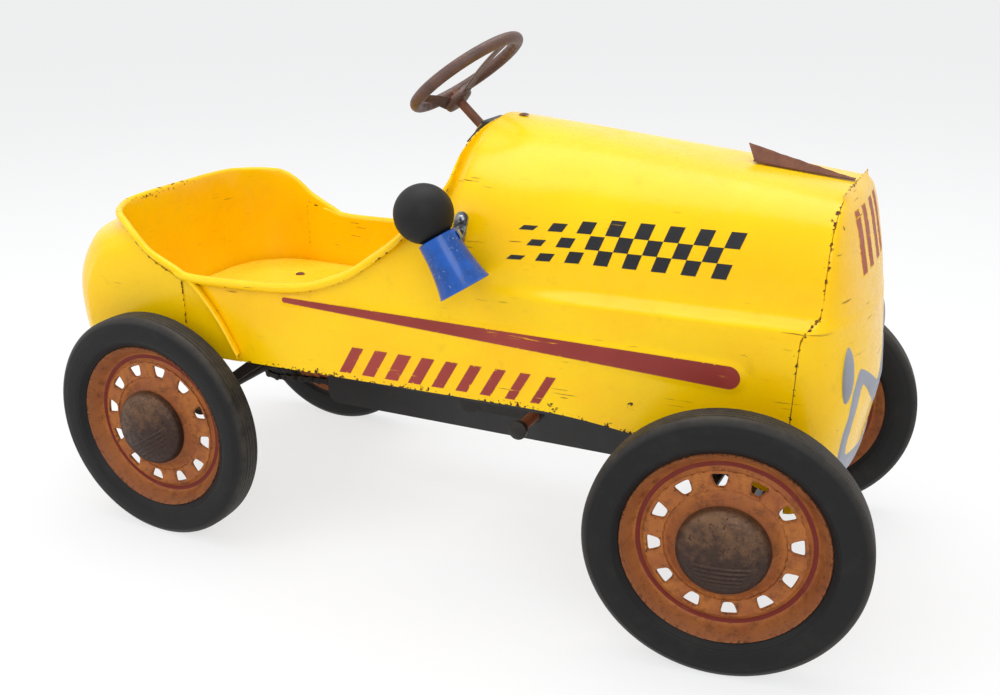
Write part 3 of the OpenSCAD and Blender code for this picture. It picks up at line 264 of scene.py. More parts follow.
def piece(name, shape, material, body, replaces=(), wear=None, sharp=38, place=None):
    """Makes an object from a shape in millimetres that rides on a body."""
    points, faces = shape
    mesh = bpy.data.meshes.new(name)
    mesh.from_pydata([tuple(p) for p in np.array(points, float) * MM], [], faces)
    if wear is not None:
        layer = mesh.attributes.new("wear", "FLOAT", "POINT")
        layer.data.foreach_set("value", np.array(wear, np.float32))
    work = bmesh.new()
    work.from_mesh(mesh)
    bmesh.ops.recalc_face_normals(work, faces=work.faces)
    work.to_mesh(mesh)
    work.free()
    mesh.shade_smooth()
    mesh.set_sharp_from_angle(angle=math.radians(sharp))
    mesh.materials.append(material)
    made = bpy.data.objects.new(name, mesh)
    bpy.context.scene.collection.objects.link(made)
    if place is not None:
        made.matrix_world = place
    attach(made, body)
    if replaces:
        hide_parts(*replaces)


def sheet(name, surface, thickness, inside, wear, finish, node=None):
    """Makes a pressing of the body from its outer surface, worn alike on both faces.

    inside is a point on the side of the surface where the steel lies.
    """
    piece(name, thickened(*surface, thickness, inside), MATERIALS[finish], CAR,
          [node] if node else (), np.tile(wear, 2))


def border_wear(points, faces, reach):
    """1 at the free edges of an open surface, fading to 0 at reach from them."""
    seen = {}
    for f in faces:
        for k in range(len(f)):
            key = tuple(sorted((f[k - 1], f[k])))
            seen[key] = seen.get(key, 0) + 1
    free = np.array(sorted({i for key, n in seen.items() if n == 1 for i in key}))
    edge = points[free]
    wear = np.zeros(len(points))
    for start in range(0, len(points), WEAR_BATCH):
        part = points[start:start + WEAR_BATCH]
        far = np.sqrt(((part[:, None, :] - edge[None, :, :]) ** 2).sum(2)).min(1)
        wear[start:start + WEAR_BATCH] = np.clip(1 - far / reach, 0, 1)
    return wear


def spot_wear(points, spots):
    """Extra wear round (x, y, z, radius) places, complete over the inner quarter."""
    wear = np.zeros(len(points))
    for x, y, z, r in spots:
        far = np.linalg.norm(points - np.array([x, y, z]), axis=1)
        wear = np.maximum(wear, np.clip(1.25 - far / r, 0, 1))
    return wear


def panel_wear(points, faces, reach, spots):
    """Wear of a panel: along its free edges, and at the places where its enamel is chipped."""
    return np.maximum(border_wear(points, faces, reach), spot_wear(points, spots))


# Materials

MATERIALS = {}
# What shows where paint is gone: rust on the body, or the body's yellow under a painted mark
RUST_BELOW, YELLOW_BELOW = "5A2C12", "FFC400"


def add(material, kind, links=None, **settings):
    """Adds a shader node. links maps an input to a value, a node or a node's output."""
    tree = material.node_tree
    node = tree.nodes.new("ShaderNode" + kind)
    for key, value in settings.items():
        setattr(node, key, value)
    for key, value in (links or {}).items():
        if isinstance(value, bpy.types.Node):
            value = next(s for s in value.outputs if s.enabled)
        if isinstance(value, bpy.types.NodeSocket):
            tree.links.new(value, node.inputs[key])
        else:
            node.inputs[key].default_value = value
    return node


def started(name):
    """An empty node material and its object coordinates, in metres."""
    material = bpy.data.materials.new(name)
    material.use_nodes = True
    material.node_tree.nodes.clear()
    return material, add(material, "TexCoord").outputs["Object"]


def finished(material, shader):
    """Joins a shader to the material's output and keeps it by name."""
    add(material, "OutputMaterial", {"Surface": shader})
    MATERIALS[material.name] = material
    return material


def per_mm(size):
    """Noise scale for features of a size in millimetres."""
    return 1 / (size * MM)


def painted(name, colour, faded, beneath, chips=0.5, scratch=0.5, rough=0.34, coat=0.25,
            edge_chips=1.0, gloss=0.5):
    """Paint on pressed steel: tone drifts, grime, chips, fine scratches and worn edges.

    beneath is what shows where the paint is gone: primer, rust or the coat below.
    """
    m, where = started(name)
    tone = add(m, "TexNoise", {"Vector": where, "Scale": per_mm(110), "Detail": 3.0})
    drift = add(m, "MapRange", {"Value": tone, 1: 0.38, 2: 0.66})
    base = add(m, "Mix", {0: drift, 6: rgba(colour), 7: rgba(faded)}, data_type="RGBA")
    # Grime sits in soft clouds about 20 mm across
    cloud = add(m, "TexNoise", {"Vector": where, "Scale": per_mm(22), "Detail": 7.0,
                                "Roughness": 0.72})
    dirty = add(m, "MapRange", {"Value": cloud, 1: 0.58, 2: 0.82, 3: 0.0, 4: 0.24})
    soiled = add(m, "Mix", {0: dirty, 6: base, 7: rgba("7A5A1E")}, data_type="RGBA")
    # Chips are 1 to 3 mm across and come in patches
    patch = add(m, "TexNoise", {"Vector": where, "Scale": per_mm(46), "Detail": 4.0})
    speck = add(m, "TexNoise", {"Vector": where, "Scale": per_mm(4.2), "Detail": 5.0,
                                "Roughness": 0.62})
    wear = add(m, "Attribute", attribute_name="wear")
    edge = add(m, "Math", {0: wear.outputs["Fac"], 1: 0.36 * edge_chips}, operation="MULTIPLY")
    spread = add(m, "Math", {0: patch, 1: 0.30 * chips + 0.06, 2: edge},
                 operation="MULTIPLY_ADD")
    height = add(m, "Math", {0: speck, 1: spread}, operation="ADD")
    gone = add(m, "MapRange", {"Value": height, 1: 0.875, 2: 0.90})
    # Scratches run mostly along and down the panel, under 1 mm wide and 20 to 60 mm long
    lines = None
    for turn, stretch in ((0.25, (0.05, 0.05, 1.0)), (1.15, (0.06, 0.06, 1.0))):
        lay = add(m, "Mapping", {"Vector": where, "Rotation": (0.2, turn, 0.1),
                                 "Scale": stretch})
        line = add(m, "TexNoise", {"Vector": lay, "Scale": per_mm(2.6), "Detail": 2.0})
        cut = add(m, "MapRange", {"Value": line, 1: 0.725 - 0.02 * scratch, 2: 0.75})
        lines = cut if lines is None else add(m, "Math", {0: lines, 1: cut},
                                              operation="MAXIMUM")
    here = add(m, "MapRange", {"Value": patch, 1: 0.46, 2: 0.60})
    scored = add(m, "Math", {0: lines, 1: here}, operation="MULTIPLY")
    scored = add(m, "Math", {0: scored, 1: scratch}, operation="MULTIPLY")
    bare = add(m, "Math", {0: gone, 1: scored}, operation="MAXIMUM")
    second = "E8AE08" if beneath == YELLOW_BELOW else "2A1710"
    under = add(m, "Mix", {0: speck, 6: rgba(beneath), 7: rgba(second)}, data_type="RGBA")
    final = add(m, "Mix", {0: bare, 6: soiled, 7: under}, data_type="RGBA")
    shine = add(m, "MapRange", {"Value": cloud, 1: 0.35, 2: 0.75, 3: rough - 0.06,
                                4: rough + 0.16})
    dull = add(m, "Mix", {0: bare, 2: shine, 3: 0.82})
    skin = add(m, "TexNoise", {"Vector": where, "Scale": per_mm(3), "Detail": 2.0})
    # Orange peel of sprayed enamel, and the step down into a chip
    ripple = add(m, "Bump", {"Height": skin, "Strength": 0.05, "Distance": 0.4 * MM})
    relief = add(m, "Bump", {"Height": bare, "Strength": 0.55, "Distance": 0.25 * MM,
                             "Normal": ripple}, invert=True)
    shader = add(m, "BsdfPrincipled", {
        "Base Color": final, "Roughness": dull, "Normal": relief, "IOR": 1.5,
        "Specular IOR Level": gloss, "Coat Weight": coat, "Coat Roughness": 0.12})
    return finished(m, shader)


def rusted(name, colour, second, dark, size=9, metallic=0.0, rough=0.72, relief=0.35):
    """Rust or browned metal: two tones in clouds, dark pits and a grainy surface."""
    m, where = started(name)
    cloud = add(m, "TexNoise", {"Vector": where, "Scale": per_mm(size * 3), "Detail": 8.0,
                                "Roughness": 0.68})
    tone = add(m, "MapRange", {"Value": cloud, 1: 0.36, 2: 0.66})
    base = add(m, "Mix", {0: tone, 6: rgba(colour), 7: rgba(second)}, data_type="RGBA")
    grain = add(m, "TexNoise", {"Vector": where, "Scale": per_mm(size / 3), "Detail": 6.0,
                                "Roughness": 0.7})
    pits = add(m, "MapRange", {"Value": grain, 1: 0.60, 2: 0.70, 3: 0.0, 4: 0.85})
    final = add(m, "Mix", {0: pits, 6: base, 7: rgba(dark)}, data_type="RGBA")
    shine = add(m, "MapRange", {"Value": grain, 1: 0.3, 2: 0.7, 3: rough - 0.12,
                                4: min(1.0, rough + 0.12)})
    bumps = add(m, "Bump", {"Height": grain, "Strength": relief, "Distance": 0.5 * MM})
    shader = add(m, "BsdfPrincipled", {
        "Base Color": final, "Roughness": shine, "Normal": bumps, "Metallic": metallic})
    return finished(m, shader)


def wheel_radius(m, where):
    """Distance from the wheel's axle, in metres, for a wheel drawn round its own Y axis."""
    flat = add(m, "VectorMath", {0: where, 1: (1.0, 0.0, 1.0)}, operation="MULTIPLY")
    return add(m, "VectorMath", {0: flat}, operation="LENGTH").outputs["Value"]


def wheel_paint(name, look):
    """Old orange stove paint gone to rust, with a hand-lined dark red ring in the groove."""
    m, where = started(name)
    radius = wheel_radius(m, where)
    cloud = add(m, "TexNoise", {"Vector": where, "Scale": per_mm(30), "Detail": 8.0,
                                "Roughness": 0.7})
    tone = add(m, "MapRange", {"Value": cloud, 1: 0.40, 2: 0.60})
    base = add(m, "Mix", {0: tone, 6: rgba(look.wheel), 7: rgba("AE6A30")}, data_type="RGBA")
    # The outer flange is redder and duller than the disc
    flange = add(m, "MapRange", {"Value": radius, 1: 80 * MM, 2: 88 * MM, 3: 0.0, 4: 0.6})
    outer = add(m, "Mix", {0: flange, 6: base, 7: rgba("7E4A2C")}, data_type="RGBA")
    # Darker in clouds round the hubcap, and darker speckles round the holes
    hub = add(m, "MapRange", {"Value": radius, 1: 43 * MM, 2: 54 * MM, 3: 1.0, 4: 0.0})
    dark_round_cap = add(m, "Math", {0: hub, 1: cloud}, operation="MULTIPLY")
    darkened = add(m, "Mix", {0: dark_round_cap, 6: outer, 7: rgba("6B3217")}, data_type="RGBA")
    # Brown rust blooms 5 to 15 mm across
    bloom = add(m, "TexNoise", {"Vector": where, "Scale": per_mm(13), "Detail": 9.0,
                                "Roughness": 0.78})
    browned = add(m, "MapRange", {"Value": bloom, 1: 0.50, 2: 0.66, 3: 0.0, 4: 0.72})
    darkened = add(m, "Mix", {0: browned, 6: darkened, 7: rgba("5A3016")}, data_type="RGBA")
    wobble = add(m, "Math", {0: cloud, 1: 1.6 * MM, 2: radius}, operation="MULTIPLY_ADD")
    inner = add(m, "MapRange", {"Value": wobble, 1: 76.2 * MM, 2: 76.8 * MM})
    outside = add(m, "MapRange", {"Value": wobble, 1: 80.6 * MM, 2: 81.4 * MM, 3: 1.0,
                                  4: 0.0})
    band = add(m, "Math", {0: inner, 1: outside}, operation="MULTIPLY")
    kept = add(m, "MapRange", {"Value": cloud, 1: 0.30, 2: 0.42, 3: 0.55, 4: 0.96})
    band = add(m, "Math", {0: band, 1: kept}, operation="MULTIPLY")
    lined = add(m, "Mix", {0: band, 6: darkened, 7: rgba(look.ring)}, data_type="RGBA")
    speck = add(m, "TexNoise", {"Vector": where, "Scale": per_mm(3.4), "Detail": 6.0,
                                "Roughness": 0.7})
    wear = add(m, "Attribute", attribute_name="wear")
    lip = add(m, "Math", {0: wear.outputs["Fac"], 1: 0.10, 2: speck},
              operation="MULTIPLY_ADD")
    pits = add(m, "MapRange", {"Value": lip, 1: 0.60, 2: 0.68, 3: 0.0, 4: 0.9})
    final = add(m, "Mix", {0: pits, 6: lined, 7: rgba("43200F")}, data_type="RGBA")
    shine = add(m, "MapRange", {"Value": cloud, 1: 0.3, 2: 0.7, 3: 0.42, 4: 0.72})
    bumps = add(m, "Bump", {"Height": speck, "Strength": 0.28, "Distance": 0.4 * MM})
    shader = add(m, "BsdfPrincipled", {
        "Base Color": final, "Roughness": shine, "Normal": bumps, "Metallic": 0.12,
        "Specular IOR Level": 0.3})
    return finished(m, shader)


def hubcap_metal(name, look):
    """Worn plating over steel, browned by rust, rubbed paler in patches, with a painted highlight
    on top.
    """
    m, where = started(name)
    cloud = add(m, "TexNoise", {"Vector": where, "Scale": per_mm(18), "Detail": 9.0,
                                "Roughness": 0.74})
    split = add(m, "SeparateXYZ", {0: where})
    # Paler towards the top: a painted highlight of the light above, added to the rubbed patches
    upper = add(m, "MapRange", {"Value": split.outputs["Z"], 1: -30 * MM, 2: 44 * MM,
                                3: 0.0, 4: 0.34})
    rub_and_top_light = add(m, "Math", {0: upper, 1: cloud}, operation="ADD")
    rubbed = add(m, "MapRange", {"Value": rub_and_top_light, 1: 0.62, 2: 0.86})
    base = add(m, "Mix", {0: rubbed, 6: rgba(look.hubcap), 7: rgba("6C4E36")},
               data_type="RGBA")
    grain = add(m, "TexNoise", {"Vector": where, "Scale": per_mm(2.8), "Detail": 6.0})
    spots = add(m, "MapRange", {"Value": grain, 1: 0.58, 2: 0.68, 3: 0.0, 4: 0.8})
    final = add(m, "Mix", {0: spots, 6: base, 7: rgba("2B1712")}, data_type="RGBA")
    shine = add(m, "MapRange", {"Value": grain, 1: 0.3, 2: 0.7, 3: 0.36, 4: 0.62})
    bumps = add(m, "Bump", {"Height": grain, "Strength": 0.22, "Distance": 0.35 * MM})
    shader = add(m, "BsdfPrincipled", {
        "Base Color": final, "Roughness": shine, "Normal": bumps, "Metallic": 0.55})
    return finished(m, shader)


def tyre_rubber(name, look, tread_from):
    """Moulded black rubber: satin flanks, and a tread greyed by dust and wear."""
    m, where = started(name)
    radius = wheel_radius(m, where)
    cloud = add(m, "TexNoise", {"Vector": where, "Scale": per_mm(26), "Detail": 8.0,
                                "Roughness": 0.7})
    tread = add(m, "MapRange", {"Value": radius, 1: tread_from * MM,
                                2: (tread_from + 7) * MM})
    dusty = add(m, "MapRange", {"Value": cloud, 1: 0.30, 2: 0.74, 3: 0.05, 4: 0.62})
    dust = add(m, "Math", {0: tread, 1: dusty}, operation="MULTIPLY")
    film = add(m, "MapRange", {"Value": cloud, 1: 0.5, 2: 0.85, 3: 0.0, 4: 0.16})
    dust = add(m, "Math", {0: dust, 1: film}, operation="MAXIMUM")
    final = add(m, "Mix", {0: dust, 6: rgba(look.tyre), 7: rgba("5A534A")},
                data_type="RGBA")
    grain = add(m, "TexNoise", {"Vector": where, "Scale": per_mm(1.6), "Detail": 4.0})
    bumps = add(m, "Bump", {"Height": grain, "Strength": 0.16, "Distance": 0.3 * MM})
    shine = add(m, "MapRange", {"Value": cloud, 1: 0.3, 2: 0.7, 3: 0.44, 4: 0.62})
    shader = add(m, "BsdfPrincipled", {
        "Base Color": final, "Roughness": shine, "Normal": bumps, "IOR": 1.5,
        "Specular IOR Level": 0.26})
    return finished(m, shader)


def bell_enamel(name, look, axis_point, axis):
    """Glossy blue enamel, rubbed pale in streaks that run from the bulb to the mouth."""
    m, where = started(name)
    local = add(m, "VectorMath", {0: where, 1: tuple(axis_point)}, operation="SUBTRACT")
    lean = Vector(axis).to_track_quat("Z", "Y").inverted().to_euler()
    lay = add(m, "VectorRotate", {"Vector": local, "Rotation": tuple(lean)},
              rotation_type="EULER_XYZ")
    streak = add(m, "Mapping", {"Vector": lay, "Scale": (1.0, 1.0, 0.07)})
    lines = add(m, "TexNoise", {"Vector": streak, "Scale": per_mm(2.2), "Detail": 4.0})
    patch = add(m, "TexNoise", {"Vector": where, "Scale": per_mm(16), "Detail": 4.0})
    pale = add(m, "MapRange", {"Value": lines, 1: 0.60, 2: 0.72})
    near = add(m, "MapRange", {"Value": patch, 1: 0.44, 2: 0.60, 3: 0.0, 4: 0.75})
    rubbed = add(m, "Math", {0: pale, 1: near}, operation="MULTIPLY")
    tone = add(m, "MapRange", {"Value": patch, 1: 0.35, 2: 0.65})
    base = add(m, "Mix", {0: tone, 6: rgba(look.bell), 7: rgba("07428C")},
               data_type="RGBA")
    final = add(m, "Mix", {0: rubbed, 6: base, 7: rgba("7FA2D8")}, data_type="RGBA")
    shader = add(m, "BsdfPrincipled", {
        "Base Color": final, "Roughness": 0.3, "IOR": 1.5, "Coat Weight": 0.25,
        "Coat Roughness": 0.1, "Specular IOR Level": 0.3})
    return finished(m, shader)


def plain_metal(name, colour, second, rough, size=6, spangle=False):
    """Bare or plated metal with a cloudy surface; spangle gives the crystals of zinc."""
    m, where = started(name)
    if spangle:
        pattern = add(m, "TexVoronoi", {"Vector": where, "Scale": per_mm(size)}).outputs[
            "Color"]
        pattern = add(m, "SeparateColor", {0: pattern}).outputs[0]
    else:
        pattern = add(m, "TexNoise", {"Vector": where, "Scale": per_mm(size),
                                      "Detail": 6.0})
    final = add(m, "Mix", {0: pattern, 6: rgba(colour), 7: rgba(second)},
                data_type="RGBA")
    shine = add(m, "MapRange", {"Value": pattern, 1: 0.2, 2: 0.8, 3: rough - 0.08,
                                4: rough + 0.12})
    shader = add(m, "BsdfPrincipled", {
        "Base Color": final, "Roughness": shine, "Metallic": 1.0})
    return finished(m, shader)


def bulb_rubber(name):
    """Moulded matt black rubber with a faint bloom and a fine mould grain."""
    m, where = started(name)
    bloom = add(m, "TexNoise", {"Vector": where, "Scale": per_mm(14), "Detail": 6.0})
    final = add(m, "Mix", {0: bloom, 6: rgba("0C0C0D"), 7: rgba("1E1D1D")},
                data_type="RGBA")
    grain = add(m, "TexNoise", {"Vector": where, "Scale": per_mm(1.2), "Detail": 3.0})
    bumps = add(m, "Bump", {"Height": grain, "Strength": 0.12, "Distance": 0.2 * MM})
    shader = add(m, "BsdfPrincipled", {
        "Base Color": final, "Roughness": 0.58, "Normal": bumps, "IOR": 1.5,
        "Specular IOR Level": 0.25})
    return finished(m, shader)


class PEDALCAR_OT_materials(bpy.types.Operator):
    """Make the materials of every finish on the car"""
    bl_idname = "pedal_car.materials"
    bl_label = "Materials"

    def execute(self, context):
        look = context.scene.pedal_car_colours
        # Stoving enamel on pressed steel: warm yellow, still glossy, chipped to brown rust
        painted("enamel_yellow", look.enamel, look.enamel_faded, RUST_BELOW, chips=0.62,
                scratch=0.9, rough=0.26, coat=0.1, edge_chips=0.62, gloss=0.22)
        # The same enamel on the seat tray, glossier, and paler as a painted reflection of the sky
        # above
        painted("enamel_yellow_seat_painted_sheen", "FFD83C", "FFCC24", RUST_BELOW, chips=0.4, rough=0.22,
                coat=0.25, edge_chips=0.45, gloss=0.35)
        # Brushed maroon paint over the yellow, which shows where it has come off
        painted("paint_maroon", look.stripe, "A03C34", YELLOW_BELOW, chips=0.78, scratch=2.2,
                rough=0.42, coat=0.0, edge_chips=0.4, gloss=0.3)
        # The same paint on the nose, mostly worn through
        painted("paint_maroon_worn", look.stripe, "A8502E", YELLOW_BELOW, chips=1.0,
                scratch=1.6, rough=0.46, coat=0.0, edge_chips=0.6, gloss=0.3)
        # Gloss black transfer on the hood
        painted("paint_black_gloss", look.graphic, "202024", YELLOW_BELOW, chips=0.1,
                scratch=0.35, rough=0.3, coat=0.1, edge_chips=0.0, gloss=0.3)
        # Aluminium paint: flat grey with a dull metallic glint
        painted("paint_aluminium", look.lamp, "8A8D96", "C9921A", chips=0.35, scratch=0.6,
                rough=0.46, coat=0.0, edge_chips=0.45)
        # Dipped black paint of the chassis, dusty and rusting at its edges
        painted("paint_chassis_black", look.chassis, "29282A", "4A2A1A", chips=0.35,
                scratch=0.3, rough=0.48, coat=0.0)
        # Steel of the pedals and bolts, left bare and gone to red-brown rust
        rusted("steel_rusted", "6B3B25", "8A5233", "2C1710")
        # Steel rubbed in use, such as the column and the ornament: darker and smoother rust
        rusted("steel_browned", "5A3527", "7C4C33", "24130F", size=7, metallic=0.25,
               rough=0.55)
        # Brown stove paint of the steering wheel, rubbed and pitted
        rusted("paint_steering_brown", look.steering, "65473B", "2A1A15", size=7,
               rough=0.5, relief=0.18)
        # Oily roller chain and sprockets: nearly black with a weak metal glint
        rusted("steel_chain_oiled", "1E1C1B", "2E2925", "0E0D0D", size=5, metallic=0.4,
               rough=0.5, relief=0.2)
        # Zinc coating with crystals about 4 mm across, and turned brass
        plain_metal("steel_galvanised", "8E939A", "B7BBC0", 0.42, size=4, spangle=True)
        plain_metal("brass_turned", "9B7A34", "B8924A", 0.36)
        wheel_paint("paint_wheel_orange", look)
        hubcap_metal("plating_browned", look)
        tyre_rubber("rubber_tyre", look, TYRE_R - 7)
        bulb_rubber("rubber_bulb")
        bell_enamel("enamel_blue", look, BULB_MID * MM, HORN_AXIS)
        return {"FINISHED"}


# Body form, the same as the solids

# Half widths at the seat and at the seam of hood and nose, and places along the car
SEAT_HALF_W, NOSE_HALF_W, SEAT_X = 147, 127, -300
SEAM_X, COWL_X, PROW_X = 390, 44, 430
SIDE_SLOPE = (NOSE_HALF_W - SEAT_HALF_W) / (SEAM_X - SEAT_X)
# Heights of the bottom edge, of the ledge's foot and top, and of the hood's top at both ends
BODY_Z, SHOULDER_Z, LEDGE_Z, LEDGE_W = 204, 312, 326, 14
COWL_Z, HOOD_FRONT_Z = 462, 420
# Thickness of the pressed steel, and the gap between panels that lap
SHEET, LAP = 1.0, 0.3
# The bottom edge drops by this much to the front, from this place on and over this length
BELLY_DROP, BELLY_FROM_X, BELLY_L = 58, 110, 280
# The ledge starts this far in front of the cowl and grows to its full width over this length
LEDGE_FROM, LEDGE_GROWS = 16, 130
# Roundness of the hood's section at the cowl, at its front, and the length between the two
ROUND_COWL, ROUND_FRONT, ROUND_L = 1.8, 3.0, 260
# Parts of a section, from the bottom edge: up to the shoulder, over the ledge, and the rest
SIDE_V, LEDGE_V = 0.2, 0.4
# Points inside the body, which tell the outside of each panel from its inside
IN_BODY, IN_NOSE, IN_MOUTH = (0, 0, 280), (350, 0, 260), (350, 0, 200)
IN_SEAT, UNDER_TRAY = (-300, 0, 260), (-270, 0, 190)
# Painted and pressed spear: middle of each end, and its half height there
SPEAR_REAR, SPEAR_FRONT = (-144, 280.8), (317, 265.2)
SPEAR_HALF = (2.9, 10.8)
SPEAR_BORDER = 5.5


def half_width(x):
    """Half width of the body below its shoulder, which narrows to the front."""
    return SEAT_HALF_W + (x - SEAT_X) * SIDE_SLOPE


def bottom_z(x):
    """Height of the body's bottom edge."""
    return BODY_Z - BELLY_DROP * clamp((x - BELLY_FROM_X) / BELLY_L) ** 2.2


def ledge(x):
    """Width of the ledge between the sides and the hood."""
    return LEDGE_W * smooth((x - COWL_X - LEDGE_FROM) / LEDGE_GROWS)


def hood_top(x):
    return lerp(COWL_Z, HOOD_FRONT_Z, (x - COWL_X) / (SEAM_X - COWL_X))


def roundness(x):
    """Power of the hood's arch: 2 is an ellipse, and more is squarer."""
    return lerp(ROUND_COWL, ROUND_FRONT, clamp((x - COWL_X) / ROUND_L) ** 0.8)


def spear_outside(x, z):
    """How far a point of the side lies outside the spear's outline."""
    t = clamp((x - SPEAR_REAR[0]) / (SPEAR_FRONT[0] - SPEAR_REAR[0]))
    middle = lerp(SPEAR_REAR[1], SPEAR_FRONT[1], t)
    across = lerp(SPEAR_REAR[0], SPEAR_FRONT[0], t)
    return math.hypot(x - across, z - middle) - lerp(*SPEAR_HALF, t)


def press(x, z, depth):
    """Outward pressing of the side round the spear."""
    return depth * smooth((SPEAR_BORDER - spear_outside(x, z)) / SPEAR_BORDER)


def outer_y(x, z):
    """Distance of the body's outside from the middle plane, before the pressing."""
    if z < SHOULDER_Z:
        return half_width(x)
    if z < LEDGE_Z:
        turn = math.pi * (z - SHOULDER_Z) / (LEDGE_Z - SHOULDER_Z)
        return half_width(x) - ledge(x) * (1 - math.cos(turn)) / 2
    n = roundness(x)
    share = clamp((z - LEDGE_Z) / (hood_top(x) - LEDGE_Z))
    return (half_width(x) - ledge(x)) * max(0.0, 1 - share ** n) ** (1 / n)


def section(x, v, depth=0.0):
    """Point of the right side: v runs from the bottom edge (0) to the top of the hood (1)."""
    if v < SIDE_V:
        z = lerp(bottom_z(x), SHOULDER_Z, v / SIDE_V)
        return np.array([x, -half_width(x) - press(x, z, depth), z])
    if v < LEDGE_V:
        z = lerp(SHOULDER_Z, LEDGE_Z, (v - SIDE_V) / (LEDGE_V - SIDE_V))
        return np.array([x, -outer_y(x, z), z])
    n = roundness(x)
    a = math.pi / 2 * (v - LEDGE_V) / (1 - LEDGE_V)
    upper = half_width(x) - ledge(x)
    return np.array([x, -upper * max(0.0, math.cos(a)) ** (2 / n),
                     LEDGE_Z + (hood_top(x) - LEDGE_Z) * math.sin(a) ** (2 / n)])


def v_of_z(x, z):
    """Share of the section at which the body's outside reaches a height."""
    if z < SHOULDER_Z:
        return SIDE_V * (z - bottom_z(x)) / (SHOULDER_Z - bottom_z(x))
    if z < LEDGE_Z:
        return SIDE_V + (LEDGE_V - SIDE_V) * (z - SHOULDER_Z) / (LEDGE_Z - SHOULDER_Z)
    share = clamp((z - LEDGE_Z) / (hood_top(x) - LEDGE_Z))
    return LEDGE_V + (1 - LEDGE_V) / (math.pi / 2) * math.asin(share ** (roundness(x) / 2))


BEAD_STEPS = 10
BEAD_TURN = math.radians(250)


def bead(p, up, out, radius, share=1.0):
    """Points of a rolled edge that starts at p along up and curls towards out."""
    turns = (share * BEAD_TURN * k / BEAD_STEPS for k in range(1, BEAD_STEPS + 1))
    return [p + radius * (out * (1 - math.cos(a)) + up * math.sin(a)) for a in turns]


def unit(v):
    return v / max(np.linalg.norm(v), 1e-9)


NOSE_LAP = 0.4
# The seam steps back by this much over the ledge, then leans back further on its way down
SEAM_STEP, SEAM_LEAN, SEAM_LEAN_H = 14, 3, 80
# Open gap at the seam, and the length over which the hood is drawn back to it
SEAM_GAP, SEAM_DRAW = 0.2, 60


def seam_at(z):
    """Place of the nose's rear edge, further back below the ledge."""
    return (lerp(SEAM_X - SEAM_STEP, SEAM_X, smooth((z - SHOULDER_Z + 8) / 28)) + NOSE_LAP
            - SEAM_LEAN * clamp((SHOULDER_Z - z) / SEAM_LEAN_H))


def to_seam(x, v, depth):
    """Section point drawn back near the front, so that the hood ends at the seam."""
    z = section(x, v)[2]
    back = SEAM_X - seam_at(z) + NOSE_LAP + SEAM_GAP
    return section(x - back * smooth((x - SEAM_X + SEAM_DRAW) / SEAM_DRAW), v, depth)


# Cockpit edge: distance behind the cowl's edge and height, from the seat to the cowl
COCKPIT_EDGE = [
    (-359, 307.5), (-324, 296.5), (-298, 291.5), (-232, 292), (-190, 294), (-157, 299),
    (-130, 308), (-108, 317.5), (-84, 333), (-60, 350), (-36, 373), (-13, 401), (-9, 425),
    (-5.5, 444), (-3, 455), (0, 461)]
# The rolled edge fades out behind this place, over this length, and above this height
ROLL_FROM_X, ROLL_FADES, ROLL_TOP_Z, ROLL_FADES_H = -292, 22, 459, 46
TOP_V = 0.985
# Places on the right side where the photographed car has lost its enamel: x, y, z, radius
BODY_SPOTS = [
    (386, -80, 411, 6), (387, -86, 402, 5), (60, 0, 461, 7), (62, -14, 460, 4),
    (150, -134, 208, 12), (95, -136, 206, 8), (228, -131, 224, 7), (-30, -139, 206, 8),
    (345, -122, 352, 6), (330, -129, 286, 5), (-90, -141, 207, 7), (20, -138, 262, 4)]
NOSE_SPOTS = [
    (398, -118, 264, 6.5), (394, -84, 407, 7), (399, -85, 400, 6), (396, -121, 232, 7),
    (404, -112, 205, 8), (399, -119, 288, 7), (392, -122, 182, 8), (402, -100, 380, 4)]
TAIL_SPOTS = [
    (-448, -60, 300, 6), (-440, -92, 288, 5), (-452, -30, 262, 6), (-436, -104, 262, 5)]


class PEDALCAR_OT_hood(bpy.types.Operator):
    """Make the body sides and the hood, with a rolled cockpit edge and a pressed spear"""
    bl_idname = "pedal_car.hood"
    bl_label = "Body sides and hood"

    def execute(self, context):
        sizes = context.scene.pedal_car_sizes
        depth, roll = sizes.press_depth / MM, sizes.roll_radius / MM
        edge = evenly(along(COCKPIT_EDGE, 8), 120)
        columns = np.concatenate([
            np.linspace(0, SIDE_V, 58), np.linspace(SIDE_V, LEDGE_V, 14)[1:],
            np.linspace(LEDGE_V, TOP_V, 44)[1:]])
        rows = []
        for dx, z in edge[:-1]:
            x = dx + COWL_X
            ev = min(TOP_V, v_of_z(x, z))
            base = [section(x, ev * v / TOP_V, depth) for v in columns]
            tip = base[-1]
            up = unit(tip - section(x, ev - 0.02, 0))
            out = np.array([0, -up[2], up[1]])
            share = min(smooth((x - ROLL_FROM_X) / ROLL_FADES) * 0.96 + 0.04,
                        clamp((ROLL_TOP_Z - z) / ROLL_FADES_H) + 0.08)
            rows.append(base + bead(tip, up, out, roll, share))
        for x in np.linspace(COWL_X, SEAM_X, 132):
            rows.append([to_seam(x, v, depth) for v in columns]
                        + [to_seam(x, lerp(TOP_V, 1.0, k / BEAD_STEPS), 0)
                           for k in range(1, BEAD_STEPS + 1)])
        points, faces = both_sides(grid(rows))
        # Scuffs along the bottom edge of both sides
        low = np.array([z - bottom_z(x) for x, _, z in points])
        wear = np.maximum(panel_wear(points, faces, 3.5, BODY_SPOTS),
                          np.clip(1.1 - low / 8, 0, 1))
        sheet("body_sides_and_hood", (points, faces), SHEET, IN_BODY, wear, "enamel_yellow",
              "hood_body")
        return {"FINISHED"}


# Nose

# Front line of the nose: height, and distance from the foremost place
PROW_LEVELS = [
    (142, -21), (162, -14), (186, -9.5), (210, -5.5), (233, -3), (264, -5), (285, -6.5),
    (300, -8), (312, -9.5), (316, -10.3), (319, -10.9), (322, -11.4), (326, -12), (348, -16),
    (368, -20.5), (386, -24.5), (399, -28), (408, -31), (415, -35)]
